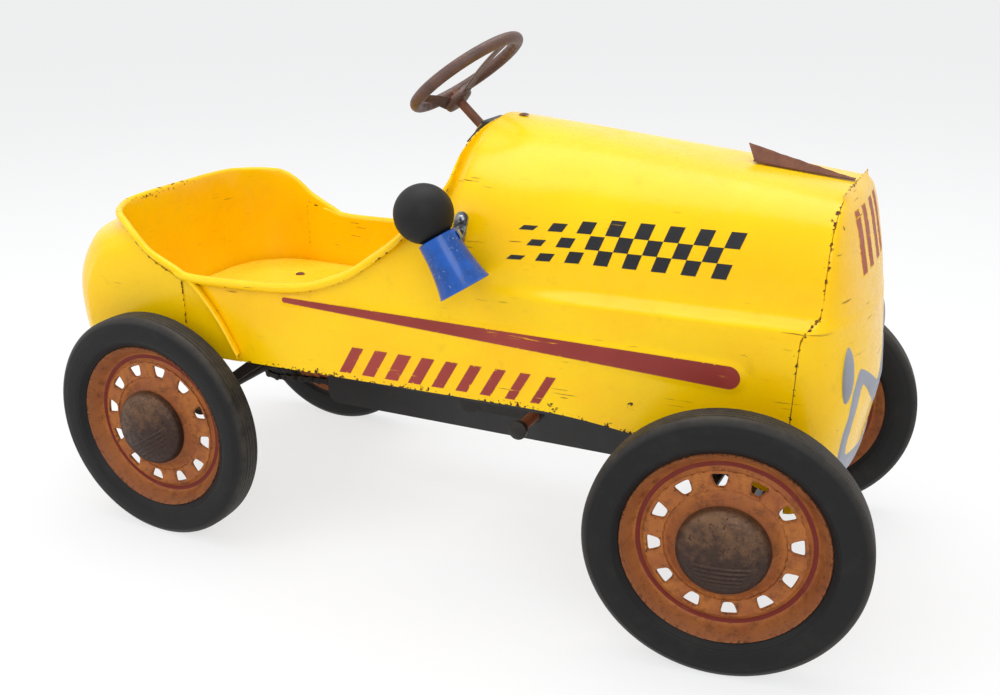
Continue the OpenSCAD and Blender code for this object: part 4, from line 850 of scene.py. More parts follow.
# The levels above the ledge are spread from this height difference to that of the hood's front
PROW_SPAN = 95
NOSE_ROUND = 2.1
NOSE_TOP_W = 62


def nose_level(z):
    """Height of a level of the front line, spread to meet the hood's front."""
    return z if z <= LEDGE_Z else lerp(LEDGE_Z, HOOD_FRONT_Z, (z - LEDGE_Z) / PROW_SPAN)


LEVEL_Z = [nose_level(z) for z, _ in PROW_LEVELS]
LEVEL_X = [PROW_X + d for _, d in PROW_LEVELS]


def nose_x(y, z):
    """Place of the nose's outside at a height and a distance from the middle plane."""
    front = float(np.interp(z, LEVEL_Z, LEVEL_X))
    inside = max(0.0, 1 - abs(y / outer_y(SEAM_X, z)) ** NOSE_ROUND)
    return seam_at(z) + (front - seam_at(z)) * inside ** (1 / NOSE_ROUND)


def nose_row(z, front, w, columns):
    """Level of the nose from side to side, w being its half width."""
    made = []
    for k in range(columns + 1):
        a = math.pi * (k / columns - 0.5)
        x = seam_at(z) + (front - seam_at(z)) * max(0.0, math.cos(a)) ** (2 / NOSE_ROUND)
        y = w * math.copysign(abs(math.sin(a)) ** (2 / NOSE_ROUND), math.sin(a))
        made.append((x, y, z))
    return made


def on_nose(y, z, lift):
    """Point lifted off the nose by a distance."""
    d = 0.5
    p = np.array([nose_x(y, z), y, z])
    across = np.array([nose_x(y + d, z) - nose_x(y - d, z), 2 * d, 0])
    up = np.array([nose_x(y, z + d) - nose_x(y, z - d), 0, 2 * d])
    return p + unit(np.cross(across, up)) * lift


# Lamps: middle, half width and half height on the nose
LAMP_Y, LAMP_Z, LAMP_W, LAMP_H = 89, 267, 6.8, 27
# Mouth frame: right half of its outer and inner outline, from the top middle, as (y, z)
MOUTH_OUTER = [(0, 235), (30, 252), (64.6, 268), (78.7, 247), (86, 205), (82, 158), (0, 150)]
MOUTH_INNER = [(0, 208), (26, 224), (55, 250), (65, 235), (72, 200), (66, 182), (0, 176)]
# How far the frame stands out, its sheet, the points of an outline and rounds of softening
MOUTH_RISE, FRAME_SHEET, FRAME_POINTS, FRAME_SOFTENED = 1.3, 0.8, 220, 6


def frame_outline(half):
    """Closed outline of the mouth's frame from its half, with softened corners."""
    walk = np.array(half + [(-y, z) for y, z in reversed(half[1:-1])] + half[:1], float)
    points = evenly(walk, FRAME_POINTS + 1)[:-1]
    for _ in range(FRAME_SOFTENED):
        points = (np.roll(points, 1, axis=0) + 2 * points + np.roll(points, -1, axis=0)) / 4
    return points


class PEDALCAR_OT_nose(bpy.types.Operator):
    """Make the nose shell with its raised lamps and the frame round its mouth"""
    bl_idname = "pedal_car.nose"
    bl_label = "Nose, lamps and mouth"

    def execute(self, context):
        self.shell()
        for side, word in ((-1, "right"), (1, "left")):
            self.lamp(side, word, context.scene.pedal_car_sizes.lamp_lift / MM)
        self.mouth()
        return {"FINISHED"}

    def shell(self):
        """Shell from the seam to the front line, with its top turned level to meet the hood."""
        columns = 96
        levels = [nose_row(z, x, outer_y(SEAM_X, z), columns)
                  for z, x in zip(LEVEL_Z, LEVEL_X)]
        top = [(SEAM_X + NOSE_LAP, NOSE_TOP_W * math.sin(math.pi * (k / columns - 0.5)),
                HOOD_FRONT_Z) for k in range(columns + 1)]
        points, faces = grid(along(np.array(levels + [top]).reshape(len(levels) + 1, -1), 5)
                             .reshape(-1, columns + 1, 3))
        points, faces = welded(points, faces, WELD_NEAR)
        sheet("nose_shell_skin", (points, faces), SHEET, IN_NOSE,
              panel_wear(points, faces, 3.5, NOSE_SPOTS), "enamel_yellow", "nose_shell")

    def lamp(self, side, word, lift):
        """Domed oval whose border lies just under the nose's enamel."""
        rows = []
        for q in np.linspace(1, 0, 15):
            rise = lift * (1 - q * q) ** 0.6 - 0.4
            rows.append([on_nose(side * LAMP_Y + LAMP_W * q * math.cos(a),
                                 LAMP_Z + LAMP_H * q * math.sin(a), rise)
                         for a in np.linspace(0, 2 * math.pi, 72, endpoint=False)])
        points, faces = welded(*grid(rows, closed=True), near=0.01)
        sheet("lamp_" + word, (points, faces), FRAME_SHEET, IN_NOSE,
              border_wear(points, faces, 2), "paint_aluminium")

    def mouth(self):
        """Flat frame with rounded borders that reach just under the enamel."""
        outer, inner = frame_outline(MOUTH_OUTER), frame_outline(MOUTH_INNER)
        rows = []
        for t in np.linspace(0, 1, 11):
            rise = MOUTH_RISE * smooth(min(t, 1 - t) * 5) - 0.2
            rows.append([on_nose(*(o + (i - o) * t), rise) for o, i in zip(outer, inner)])
        points, faces = grid(rows, closed=True)
        sheet("mouth_frame", (points, faces), FRAME_SHEET, IN_MOUTH,
              border_wear(points, faces, 3), "paint_aluminium")


# Back rest and tail

# Back rest: places of its foot and rim, and the rim's height; then the corners' radii in plan
BACK_FOOT_X, BACK_RIM_X, RIM_Z = -392, -388, 352
CORNER_ROUND, TAIL_ROUND = 75, 80
# Side stretch of the rim: place and height, from the foot of the rim backwards
RIM_SIDE = [(-206, 211), (-214, 226), (-224, 244), (-238, 264), (-255, 284), (-273, 297),
            (-292, 306), (-311, 316)]
# Steps of the path round a corner and along the back, and up the wall
ARC_STEPS, BACK_STEPS, WALL_STEPS = 7, 3, 4
# Share of the last rise of the rim at each step round the corner
RIM_RISE = [0.45, 0.74, 0.83, 0.88, 0.92, 0.96, 0.98]
SIDE_N = len(RIM_SIDE)
PATH_N = SIDE_N + ARC_STEPS + BACK_STEPS
BACK_SKIN = LAP + SHEET
TAIL_SKIN = BACK_SKIN + LAP + SHEET
# Tail: the step of the path it starts at, how far it hangs below the rim, its bottom edge, its
# steps down and how far it bulges backwards
TAIL_FIRST, TAIL_DROP, TAIL_FOOT_Z, TAIL_STEPS, TAIL_BULGE = 5, 9, 200, 9, 75
# Share of the way down at which the bulge is widest, and how far it has come in at the bottom
TAIL_WIDEST, TAIL_TUCK = 0.67, 5


def u_path(k, back_x, r, w):
    """Right half of a path in plan: along the side, round the corner and to the middle."""
    if k < SIDE_N:
        x = RIM_SIDE[k][0]
        return np.array([x, -(half_width(x) + w)])
    x0 = back_x + r
    if k < SIDE_N + ARC_STEPS:
        a = math.pi / 2 * (k - SIDE_N + 1) / ARC_STEPS
        return np.array([x0 - r * math.sin(a), -(half_width(x0) + w - r * (1 - math.cos(a)))])
    q = (k - SIDE_N - ARC_STEPS + 1) / BACK_STEPS
    return np.array([back_x, -(half_width(x0) + w - r) * (1 - q)])


def rim_height(k):
    """Height of the back rest's rim at a step of its path."""
    if k < SIDE_N:
        return RIM_SIDE[k][1]
    if k < SIDE_N + ARC_STEPS:
        return lerp(RIM_SIDE[-1][1], RIM_Z, RIM_RISE[k - SIDE_N])
    return RIM_Z


def back_point(k, t):
    """Point of the back rest at a step of its path; t runs from its foot to its rim."""
    foot = u_path(k, BACK_FOOT_X, CORNER_ROUND, BACK_SKIN)
    rim = u_path(k, BACK_RIM_X, CORNER_ROUND, BACK_SKIN)
    return np.array([*lerp(foot, rim, t), lerp(BODY_Z, rim_height(k), t)])


def tail_back(t):
    """Place of the tail's back; t runs from its top to its bottom edge."""
    return (BACK_RIM_X - TAIL_BULGE * math.sin(math.pi / 2 * clamp(t / TAIL_WIDEST) ** 0.68)
            + TAIL_TUCK * clamp((t - TAIL_WIDEST) / (1 - TAIL_WIDEST)) ** 2)


def tail_point(k, t):
    """Point of the tail, which leaves the back rest below the rim and bulges out."""
    rim = rim_height(k)
    top = back_point(k, (rim - TAIL_DROP - BODY_Z) / (rim - BODY_Z))
    bulged = u_path(k, tail_back(t), lerp(CORNER_ROUND, TAIL_ROUND, clamp(t * 3)), TAIL_SKIN)
    middle = k == PATH_N - 1
    start = np.array([top[0] - (0 if k < SIDE_N else LAP + SHEET),
                      0 if middle else top[1] - LAP - SHEET])
    plan = lerp(start, bulged, clamp(t * 9))
    return np.array([plan[0], 0 if middle else plan[1], lerp(top[2], TAIL_FOOT_Z, t)])


def refined(rows, steps_u, steps_v):
    """Smooth grid through the points of a coarse one."""
    rows = np.array(rows, float)
    n, m = rows.shape[:2]
    fine = along(rows.reshape(n, -1), steps_u).reshape(-1, m, 3)
    return np.stack([along(row, steps_v) for row in fine])


# Where the enamel of the back rest's rim is rubbed away: above this height, over this rise and
# left of this place
RUB_Z, RUB_H, RUB_Y = 338, 18, 40
# Dimples of the seat tray, one round each bolt: places, depth and half width
TRAY_BOLTS = [(-291, -88), (-291, 88), (-232, -60), (-232, 60)]
DIMPLE_DEPTH, DIMPLE_R = 2.9, 6.2
# Inset at which the tray's rounded edge ends and its dish starts
TRAY_EDGE = 9


class PEDALCAR_OT_seat(bpy.types.Operator):
    """Make the back rest with its rolled rim, the tail and the seat pan"""
    bl_idname = "pedal_car.seat"
    bl_label = "Back rest, tail and seat"

    def execute(self, context):
        roll = context.scene.pedal_car_sizes.roll_radius / MM
        walls = [[back_point(k, j / WALL_STEPS) for j in range(WALL_STEPS + 1)]
                 for k in range(PATH_N)]
        walls = refined(walls, 6, 6)
        rows = []
        for i, base in enumerate(walls):
            up = unit(base[-1] - base[-2])
            ahead = walls[min(i + 1, len(walls) - 1)][-1] - walls[max(i - 1, 0)][-1]
            flat = [0, 1, 0] if i == len(walls) - 1 else [ahead[0], ahead[1], 0]
            out = unit(np.cross(up, flat))
            rows.append(list(base) + bead(base[-1], up, out, roll * 0.75))
        points, faces = both_sides(grid(rows))
        wear = np.maximum(border_wear(points, faces, 5) * 0.7,
                          np.clip((points[:, 2] - RUB_Z) / RUB_H, 0, 1)
                          * (points[:, 1] < RUB_Y) * 0.8)
        sheet("back_rest", (points, faces), SHEET, IN_SEAT, wear, "enamel_yellow", "seat_back")
        rows = [[tail_point(k, (j / TAIL_STEPS) ** 1.3) for j in range(TAIL_STEPS, -1, -1)]
                for k in range(TAIL_FIRST, PATH_N)]
        points, faces = both_sides(grid(refined(rows, 6, 5)))
        sheet("tail", (points, faces), SHEET, IN_SEAT,
              panel_wear(points, faces, 3, TAIL_SPOTS), "enamel_yellow", "tail_shell")
        self.seat_pan()
        return {"FINISHED"}

    def seat_pan(self):
        """Tray with a pressed, rounded edge and a shallow dish."""
        low, high = (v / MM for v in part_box("seat_pan"))
        front = high.x
        skin = -LAP - SHEET
        side = [u_path(k, BACK_FOOT_X + SHEET + 1.4, CORNER_ROUND, skin)
                for k in range(SIDE_N - 1, PATH_N)]
        right = [np.array([front, -(half_width(front) + skin)])] + side
        outline = np.array(right + [p * (1, -1) for p in reversed(right[:-1])])
        outline = evenly(np.vstack([outline, outline[:1]]), 161)[:-1]
        middle = np.array([(low.x + high.x) / 2, 0.0])
        rows = []
        # Insets from the outline and heights: the edge rises and rounds over, then comes the dish
        profile = [(0, low.z), (0, high.z - 5), (0.5, high.z - 2.4), (2.2, high.z - 0.6),
                   (5, high.z), (TRAY_EDGE, high.z - 0.4)]
        profile += [(inset, high.z - 0.4 - 1.2 * smooth((inset - TRAY_EDGE) / 14))
                    for inset in np.linspace(11, 150, 90)]
        away = middle - outline
        size = np.linalg.norm(away, axis=1, keepdims=True)
        for inset, z in profile:
            moved = outline + away / size * np.minimum(inset, size * 0.98)
            rows.append([
                (x, y, z - DIMPLE_DEPTH
                 * max(smooth(1.5 - math.hypot(x - u, y - v) / DIMPLE_R) for u, v in TRAY_BOLTS)
                 * (inset > TRAY_EDGE)) for x, y in moved])
        points, faces = grid(rows, closed=True)
        faces.append(tuple(range(len(points) - len(outline), len(points))))
        wear = border_wear(points, [f for f in faces if len(f) == 4], 5)
        spots = [(*TRAY_BOLTS[0], high.z, 16), (*TRAY_BOLTS[3], high.z, 10)]
        wear = np.maximum(wear, spot_wear(points, spots) * 0.6)
        # The tray's enamel is painted paler as a reflection of the sky above
        sheet("seat_tray", (points, faces), SHEET, UNDER_TRAY, wear, "enamel_yellow_seat_painted_sheen",
              "seat_pan")


# Painted marks on the sides

# Share of a mark's lift that is paint, so that its back stays clear of the enamel
PAINT_SHARE = 0.9


def side_patch(rows, lift, depth, side):
    """Thin closed patch on one side of the body from rows of (x, z)."""
    made = [[(x, side * (outer_y(x, z) + press(x, z, depth) + lift), z) for x, z in row]
            for row in rows]
    points, faces = grid(made)
    wear = border_wear(points, faces, 1.2)
    return thickened(points, faces, lift * PAINT_SHARE, IN_BODY), np.tile(wear, 2)


def spear_rows():
    """Rows across the spear, from its rounded rear end to its rounded front end."""
    rows = []
    (x0, z0), (x1, z1) = SPEAR_REAR, SPEAR_FRONT
    r0, r1 = SPEAR_HALF
    marks = ([(x0 - r0 * math.cos(a), r0 * math.sin(a))
              for a in np.linspace(0.12, math.pi / 2, 8)]
             + [(x, lerp(r0, r1, (x - x0) / (x1 - x0))) for x in np.linspace(x0, x1, 150)[1:-1]]
             + [(x1 + r1 * math.cos(a), r1 * math.sin(a))
                for a in np.linspace(math.pi / 2, 0.08, 14)])
    for x, half in marks:
        t = clamp((x - x0) / (x1 - x0))
        middle = lerp(z0, z1, t)
        rows.append([(x, middle + half * q) for q in np.linspace(-1, 1, 15)])
    return rows


def slanted(x, z, wide, high, lean):
    """Rows of a leaning bar with its lower rear corner at x, z."""
    across, up = 6, 10
    return [[(x + wide * i / across + lean * j / up, z + high * j / up)
             for j in range(up + 1)] for i in range(across + 1)]


# Row of leaning bars low on each side: first place, step, foot, height and lean, then how many
# there are and how wide the widest is
BARS_X, BARS_STEP, BARS_Z, BARS_H, BARS_LEAN = -84, 26.5, 210.5, 29, 17
BARS_COUNT, BARS_W = 9, 15
# Chequered band on each side of the hood: rear lower corner, square, rows, columns and lean
BAND_X, BAND_Z, BAND_SQUARE, BAND_ROWS, BAND_COLUMNS = 102, 349, 13.6, 3, 15
BAND_LEAN = 0.34
# Stripes on the nose: places across it, half width, lower and upper end
STRIPES_Y, STRIPE_HALF, STRIPE_LOW, STRIPE_HIGH = (-44, -17, 17, 44), 8, 348, 404


class PEDALCAR_OT_marks(bpy.types.Operator):
    """Make the painted spear, the leaning bars, the chequered band and the nose stripes"""
    bl_idname = "pedal_car.marks"
    bl_label = "Painted marks"

    def execute(self, context):
        sizes = context.scene.pedal_car_sizes
        lift, depth = sizes.paint_lift / MM, sizes.press_depth / MM
        for side, word in ((-1, "right"), (1, "left")):
            groups = {
                "spear_": ("paint_maroon", [spear_rows()]),
                "bars_": ("paint_maroon", [
                    slanted(BARS_X + BARS_STEP * k, BARS_Z, BARS_W - 0.9 * abs(k - 2), BARS_H,
                            BARS_LEAN) for k in range(BARS_COUNT)]),
                "chequers_": ("paint_black_gloss", [
                    slanted(BAND_X + BAND_SQUARE * (c + BAND_LEAN * r), BAND_Z + BAND_SQUARE * r,
                            BAND_SQUARE, BAND_SQUARE * min(1.0, 0.3 + 0.12 * c),
                            BAND_LEAN * BAND_SQUARE)
                    for r in range(BAND_ROWS) for c in range(BAND_COLUMNS) if (r + c) % 2 == 0]),
            }
            for name, (paint, patches) in groups.items():
                shapes, wears = zip(*[side_patch(rows, lift, depth, side)
                                      for rows in patches])
                piece(name + word, joined(*shapes), MATERIALS[paint], CAR,
                      wear=np.concatenate(wears))
        shapes, wears = [], []
        for y in STRIPES_Y:
            rows = [[on_nose(y + STRIPE_HALF * q, z, lift)
                     for z in np.linspace(STRIPE_LOW, STRIPE_HIGH, 21)]
                    for q in np.linspace(-1, 1, 7)]
            points, faces = grid(rows)
            wears.append(np.tile(border_wear(points, faces, 3), 2))
            shapes.append(thickened(points, faces, lift * PAINT_SHARE, IN_NOSE))
        piece("nose_stripes", joined(*shapes), MATERIALS["paint_maroon_worn"], CAR,
              wear=np.concatenate(wears))
        return {"FINISHED"}


# Wheels: drawn round the Y axis with the outer face towards +Y

TYRE_LOW, TYRE_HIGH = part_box("rear_right_tyre")
TYRE_R = (TYRE_HIGH.z - TYRE_LOW.z) / MM / 2
TYRE_HALF = (TYRE_HIGH.y - TYRE_LOW.y) / MM / 2
TRACK_HALF = 179.5
# Hub tube: radius of its bore with clearance, outer radius, and the places of its ends
HUB_BORE, HUB_R, HUB_ENDS = 5.55, 9.4, (-13, 12)
# Disc: radius, half of its width at the rim, and its sheet
WHEEL_R, DISC_Y, DISC_SHEET = 92, 8.5, 1.4
# Holes: how many, the radius of their middles, and the radii between which they lie
HOLES, HOLE_R, HOLES_FROM, HOLES_TO = 12, WHEEL_R - 29, 54.0, 72.0
# Hubcap: radius, height, place of its seat and sheet
CAP_R, CAP_H, CAP_SEAT_Y, CAP_SHEET = 42, 22, 6.5, 0.9
# Ridges below a hubcap's middle: how many, how far down the first lies, and their distance
RIDGES, RIDGE_FIRST, RIDGE_STEP = 5, 8.6, 4.6
# How the photographed car stands: steered to the left, and its wheels rolled
STEER_REST = math.radians(8.3)
SPIN_FRONT, SPIN_REAR = math.radians(6.5), math.radians(21)
# Outer face of the disc as (radius, y): seat of the cap, dish, painted groove and flange
FACE = [(9, 6.5), (40, 6.5), (43, 6.2), (46, 4.4), (49, 1.8), (51.5, 0), (54, -0.8), (57, -1),
        (70.5, -1.4), (73, -2.4), (75, -4.0), (77.5, -4.3), (80, -4.0), (82, -2.4), (84, 0.6),
        (86, 3.6), (88, 6.2), (90, 8.6), (92, 11)]
FACE_R = [p[0] for p in FACE]
FACE_Y = [p[1] for p in FACE]


def face_y(r):
    """Height of the disc's outer face at a radius, with soft bends."""
    return sum(float(np.interp(r + d, FACE_R, FACE_Y)) for d in (-1.2, -0.6, 0, 0.6, 1.2)) / 5


def hole_outline():
    """Shield-shaped hole, broad towards the rim, as (along the radius, across)."""
    half = [(-7.5, 0), (-7.2, 3.5), (-5, 6.0), (-1, 7.6), (3.5, 8.8), (6, 8.6), (7.2, 6),
            (7.4, 0)]
    ring = half + [(a, -b) for a, b in reversed(half[1:-1])]
    curve = along(ring + ring[:1], 10)[:-1]
    turns = np.arctan2(curve[:, 1], curve[:, 0])
    order = np.argsort(turns)
    return turns[order], np.hypot(curve[:, 0], curve[:, 1])[order]


def wheel_disc(lip):
    """Pressed disc with its holes, each with an edge turned in, and the hub tube."""
    r_in, r_out = HOLES_FROM, HOLES_TO
    across, down = 12, 8
    half = math.pi / HOLES
    walk = ([(r_in, lerp(-half, half, k / across)) for k in range(across)]
            + [(lerp(r_in, r_out, k / down), half) for k in range(down)]
            + [(r_out, lerp(half, -half, k / across)) for k in range(across)]
            + [(lerp(r_out, r_in, k / down), -half) for k in range(down)])
    turns, reach = hole_outline()
    # Rings down the turned-in edge: drop as a share of the lip, and share of the hole's size
    rings = [(-1.0, 0.93), (-0.75, 0.955), (-0.4, 0.972), (-0.12, 0.988), (0.0, 1.0)]
    rows = []
    for drop, share in rings:
        row = []
        for r, a in walk:
            turn = math.atan2(r * math.sin(a), r * math.cos(a) - HOLE_R)
            far = float(np.interp(turn, turns, reach, period=2 * math.pi)) * share
            u, t = HOLE_R + far * math.cos(turn), far * math.sin(turn)
            row.append((u, face_y(math.hypot(u, t)) + lip * drop, t))
        rows.append(row)
    edge = rows[-1]
    for q in (0.12, 0.28, 0.5, 0.75, 1.0):
        row = []
        for (r, a), (u0, _, t0) in zip(walk, edge):
            u, t = lerp(u0, r * math.cos(a), q), lerp(t0, r * math.sin(a), q)
            row.append((u, face_y(math.hypot(u, t)), t))
        rows.append(row)
    sector = grid(rows, closed=True)
    shapes = []
    for k in range(HOLES):
        turn = Matrix.Rotation(2 * math.pi * k / HOLES, 3, "Y")
        shapes.append((sector[0] @ np.array(turn).T, sector[1]))
    steps = across * HOLES
    for radii in (np.linspace(9, r_in, 36), np.linspace(r_out, WHEEL_R, 32)):
        shapes.append(grid([[(r * math.cos(a), face_y(r), r * math.sin(a))
                             for a in (2 * math.pi * (k + across / 2) / steps
                                       for k in range(steps))] for r in radii], closed=True))
    points, faces = welded(*joined(*shapes), near=0.03)
    near_hole = border_wear(points, faces, 4)
    shape = thickened(points, faces, DISC_SHEET, (0, -400, 0))
    back, front = HUB_ENDS
    tube = turned([(HUB_BORE, back), (HUB_R, back), (HUB_R, front), (HUB_BORE, front)], 48)
    wear = np.concatenate([np.tile(near_hole, 2), np.zeros(len(tube[0]))])
    return joined(shape, tube), wear


def rim_back():
    """Back half of the rim: a ring that carries the inner bead of the tyre."""
    r, y0 = WHEEL_R, -6.0
    front = [(r - 19, y0), (r - 9.8, y0), (r - 6.6, y0 - 2.2), (r - 3.4, -DISC_Y - 2.2),
             (r + 0.8, -DISC_Y - 3.6)]
    back = [(r, -DISC_Y - 5), (r - 4, -DISC_Y - 3.6), (r - 7.4, y0 - 3.4), (r - 10.6, y0 - 1.4),
            (r - 19, y0 - 1.4)]
    return turned(front + back, 144)


def tyre(groove):
    """Tyre with moulded lines near its bead and grooves round a slightly domed tread."""
    r, h = TYRE_R, TYRE_HALF
    shoulder = [(94.5, 11.2), (96.4, 13.2), (97.6, 14.6), (98.4, 14.5), (99.2, 15.3),
                (100.2, 15.2), (101.2, 15.8), (104, 16.2), (108, 16.45), (112.5, h),
                (116.5, h - 0.15), (118.2, h - 0.9), (119.6, h - 0.8), (121.4, h - 1.7),
                (123.6, h - 3.0), (125.2, h - 4.4)]
    front = [(83, -5.2), (84.8, -1.9), (88.9, 4.1), (92.6, 9.0)] + shoulder
    back = [(83, -6.1), (86, -7.7), (89, -10.3), (92.6, -11.6)]
    back += [(a, -b) for a, b in shoulder[1:]]
    tread, ribs = [], 5
    wide = 2 * (h - 5.2)
    for k in range(ribs):
        for q, deep in ((0.0, 1), (0.1, 1), (0.2, 0), (0.8, 0), (0.9, 1)):
            y = wide / 2 - wide * (k + q) / ribs
            dome = 0.5 * (2 * y / wide) ** 2
            tread.append((r - dome - groove * deep, y))
    # The first two points would cut a groove beside the shoulder
    return turned(front + tread[2:] + back[::-1], 192)


def hubcap(ridge):
    """Domed cap with a centre point, five ridges across its lower half and small dents."""
    steps, rings = 168, 64
    rows = []
    for q in np.linspace(1, 0, rings):
        row = []
        for k in range(steps):
            a = 2 * math.pi * k / steps
            x, z = CAP_R * q * math.cos(a), CAP_R * q * math.sin(a)
            y = CAP_SEAT_Y + 0.2 + (CAP_H - 2) * max(0, 1 - q * q) ** 0.34 * (1 - 0.1 * q * q)
            for i in range(RIDGES):
                length = 30.5 - 2.2 * i
                bar = math.exp(-((z + RIDGE_FIRST + RIDGE_STEP * i) / 0.95) ** 2)
                y += ridge * bar * smooth((length - abs(x)) / 5)
            y += 1.9 * math.exp(-(q * CAP_R / 2.6) ** 2)
            y += 0.5 * noise.noise(Vector((x / 13, z / 13, 2.7))) * (1 - q ** 4)
            row.append((x, y, z))
        rows.append(row)
    points, faces = welded(*grid(rows, closed=True), near=WELD_NEAR)
    return thickened(points, faces, CAP_SHEET, (0, -60, 0))


def wheel_place(corner):
    """Where a wheel stands: its middle, the steering angle and how far it is rolled."""
    word, side = corner.split("_")[0], 1 if corner.endswith("left") else -1
    if word == "rear":
        middle = joint_point("axle_spin")
        middle.y = side * TRACK_HALF
        return Matrix.Translation(middle * MM) @ Matrix.Rotation(-SPIN_REAR, 4, "Y")
    kingpin = joint_point("steer" if side > 0 else "steer_right")
    height = joint_point("axle_spin").z
    out = side * TRACK_HALF - kingpin.y
    return (Matrix.Translation(Vector((kingpin.x, kingpin.y, height)) * MM)
            @ Matrix.Rotation(STEER_REST, 4, "Z") @ Matrix.Translation((0, out * MM, 0))
            @ Matrix.Rotation(-SPIN_FRONT, 4, "Y"))


WHEEL_BODIES = {"front_left": "front_left_wheel", "front_right": "front_right_wheel",
                "rear_left": "rear_left_wheel", "rear_right": "rear_axle_body"}
# How far each hubcap is turned on its wheel, in degrees
CAP_TURNS = {"front_left": 20, "front_right": 5, "rear_left": 70, "rear_right": -11}


class PEDALCAR_OT_wheels(bpy.types.Operator):
    """Make the four wheels: pressed disc, rim, tyre and hubcap"""
    bl_idname = "pedal_car.wheels"
    bl_label = "Wheels"

    def execute(self, context):
        sizes = context.scene.pedal_car_sizes
        disc, disc_wear = wheel_disc(sizes.hole_lip / MM)
        parts = {
            "disc": (disc, "paint_wheel_orange", "wheel_paint", disc_wear, 34),
            "rim_back": (rim_back(), "paint_wheel_orange", "wheel_paint", None, 50),
            "tyre": (tyre(sizes.tread_groove / MM), "rubber_tyre", "tyre_rubber", None, 40),
            "hubcap": (hubcap(sizes.ridge_height / MM), "plating_browned", "hubcap_steel",
                       None, 50)}
        for corner, body in WHEEL_BODIES.items():
            place = wheel_place(corner)
            for word, (shape, paint, slot, wear, sharp) in parts.items():
                if corner.endswith("right"):
                    shape = mirrored(*shape)
                turn = CAP_TURNS[corner] if word == "hubcap" else 0
                piece(f"{corner}_{word}_skin", shape, MATERIALS[paint], body,
                      [f"{corner}_{word}"], wear, sharp,
                      place @ Matrix.Rotation(math.radians(turn), 4, "Y"))
        return {"FINISHED"}


# Horn: turned round its own axis from the middle of the bulb to the mouth

BULB_MID = Vector((36, -166, 393))
HORN_LEAN = math.radians(148)
HORN_AXIS = Vector((math.sin(HORN_LEAN), 0, math.cos(HORN_LEAN)))
# Bulb, then the bell: where it starts along the axis, its length and its radii, then the neck
BULB_R, BELL_FROM, BELL_L, BELL_TOP_R, BELL_R, NECK_R = 28, 26, 51, 19, 25, 9
# Wall of the bulb and of its neck, sheet of the bell and radius of the bead round its mouth
BULB_WALL, NECK_WALL, BELL_SHEET, BELL_BEAD = 3, 2.5, 1.0, 0.75


def horn_place():
    """Turns the Y axis of a turned shape onto the horn's axis."""
    return (Matrix.Translation(BULB_MID * MM)
            @ HORN_AXIS.to_track_quat("Y", "X").to_matrix().to_4x4())


class PEDALCAR_OT_horn(bpy.types.Operator):
    """Make the rubber bulb and the enamelled bell of the horn"""
    bl_idname = "pedal_car.horn"
    bl_label = "Horn"

    def execute(self, context):
        place = horn_place()
        piece("bulb", self.bulb(), MATERIALS["rubber_bulb"], CAR, ["horn_bulb"],
              sharp=50, place=place)
        piece("bell", self.bell(), MATERIALS["enamel_blue"], CAR, ["horn_bell"],
              sharp=50, place=place)
        return {"FINISHED"}

    def bulb(self):
        """Hollow ball with a moulded seam round it and a neck that enters the bell."""
        ball = [(BULB_R * math.sin(a), -BULB_R * math.cos(a) * 0.995)
                for a in np.linspace(0, math.pi * 0.885, 48)]
        seam = [(r + 0.32 * math.exp(-(y / 0.7) ** 2), y) for r, y in ball]
        neck = [(NECK_R + 1.2, BELL_FROM - 0.6), (NECK_R, BELL_FROM + 0.8),
                (NECK_R, BELL_FROM + 8)]
        inner = [(NECK_R - NECK_WALL, BELL_FROM + 8), (NECK_R - NECK_WALL, BELL_FROM - 3)]
        hollow = [((BULB_R - BULB_WALL) * math.sin(a), -(BULB_R - BULB_WALL) * math.cos(a))
                  for a in np.linspace(math.pi * 0.91, 0, 24)]
        profile = seam + neck + inner + hollow
        return turned([(max(r, 0.0), y) for r, y in profile], 96)

    def bell(self):
        """Flared bell with a beaded mouth and a closed top that grips the neck."""
        start = BELL_FROM - 1.0
        outer = [(lerp(BELL_TOP_R, BELL_R, q ** 2.2), start + BELL_L * q)
                 for q in np.linspace(0, 1, 26)]
        lip = [(BELL_R + BELL_BEAD * math.sin(a),
                start + BELL_L + BELL_BEAD - BELL_BEAD * math.cos(a))
               for a in np.linspace(0.4, math.pi * 1.25, 9)]
        inside = [(r - BELL_SHEET, y) for r, y in reversed(outer[2:])]
        cap = [(BELL_TOP_R - 1.6, start + 3.2), (NECK_R + 0.2, start + 4.2),
               (NECK_R + 0.2, start + 2.6), (BELL_TOP_R - 3.4, start + 0.9),
               (BELL_TOP_R - 1.2, start - 0.7)]
        return turned(outer + lip + inside + cap, 128)


# Steering wheel: a rim that sits askew on its spokes, as bent in use

COLUMN_TILT, RIM_TILT = math.radians(43), math.radians(54)
COLUMN_AXIS = np.array([-math.cos(COLUMN_TILT), 0, math.sin(COLUMN_TILT)])
# Rim: its middle, its radius and that of its tube, and how far the hub stands up the column
RIM_MID = np.array([-3.0, 0, 499.0])
RIM_R, TUBE_R, HUB_BACK = 61, 6, 40
SPOKE_ANGLES = (90, 215, 325)
SPOKE_POINTS = 28
# How far, and which way, a spoke bows up in its middle
SPOKE_BOW = np.array([-1.0, 0, 1.0]) / 1.414 * 3.0


def tilted(middle, tilt, angle, radius, off=0.0):
    """Point of a disc that leans back by tilt from the vertical plane, off it along its axis."""
    flat = np.array([math.sin(tilt) * math.sin(angle), math.cos(angle),
                     math.cos(tilt) * math.sin(angle)])
    axis = np.array([-math.cos(tilt), 0, math.sin(tilt)])
    return middle + radius * flat + off * axis


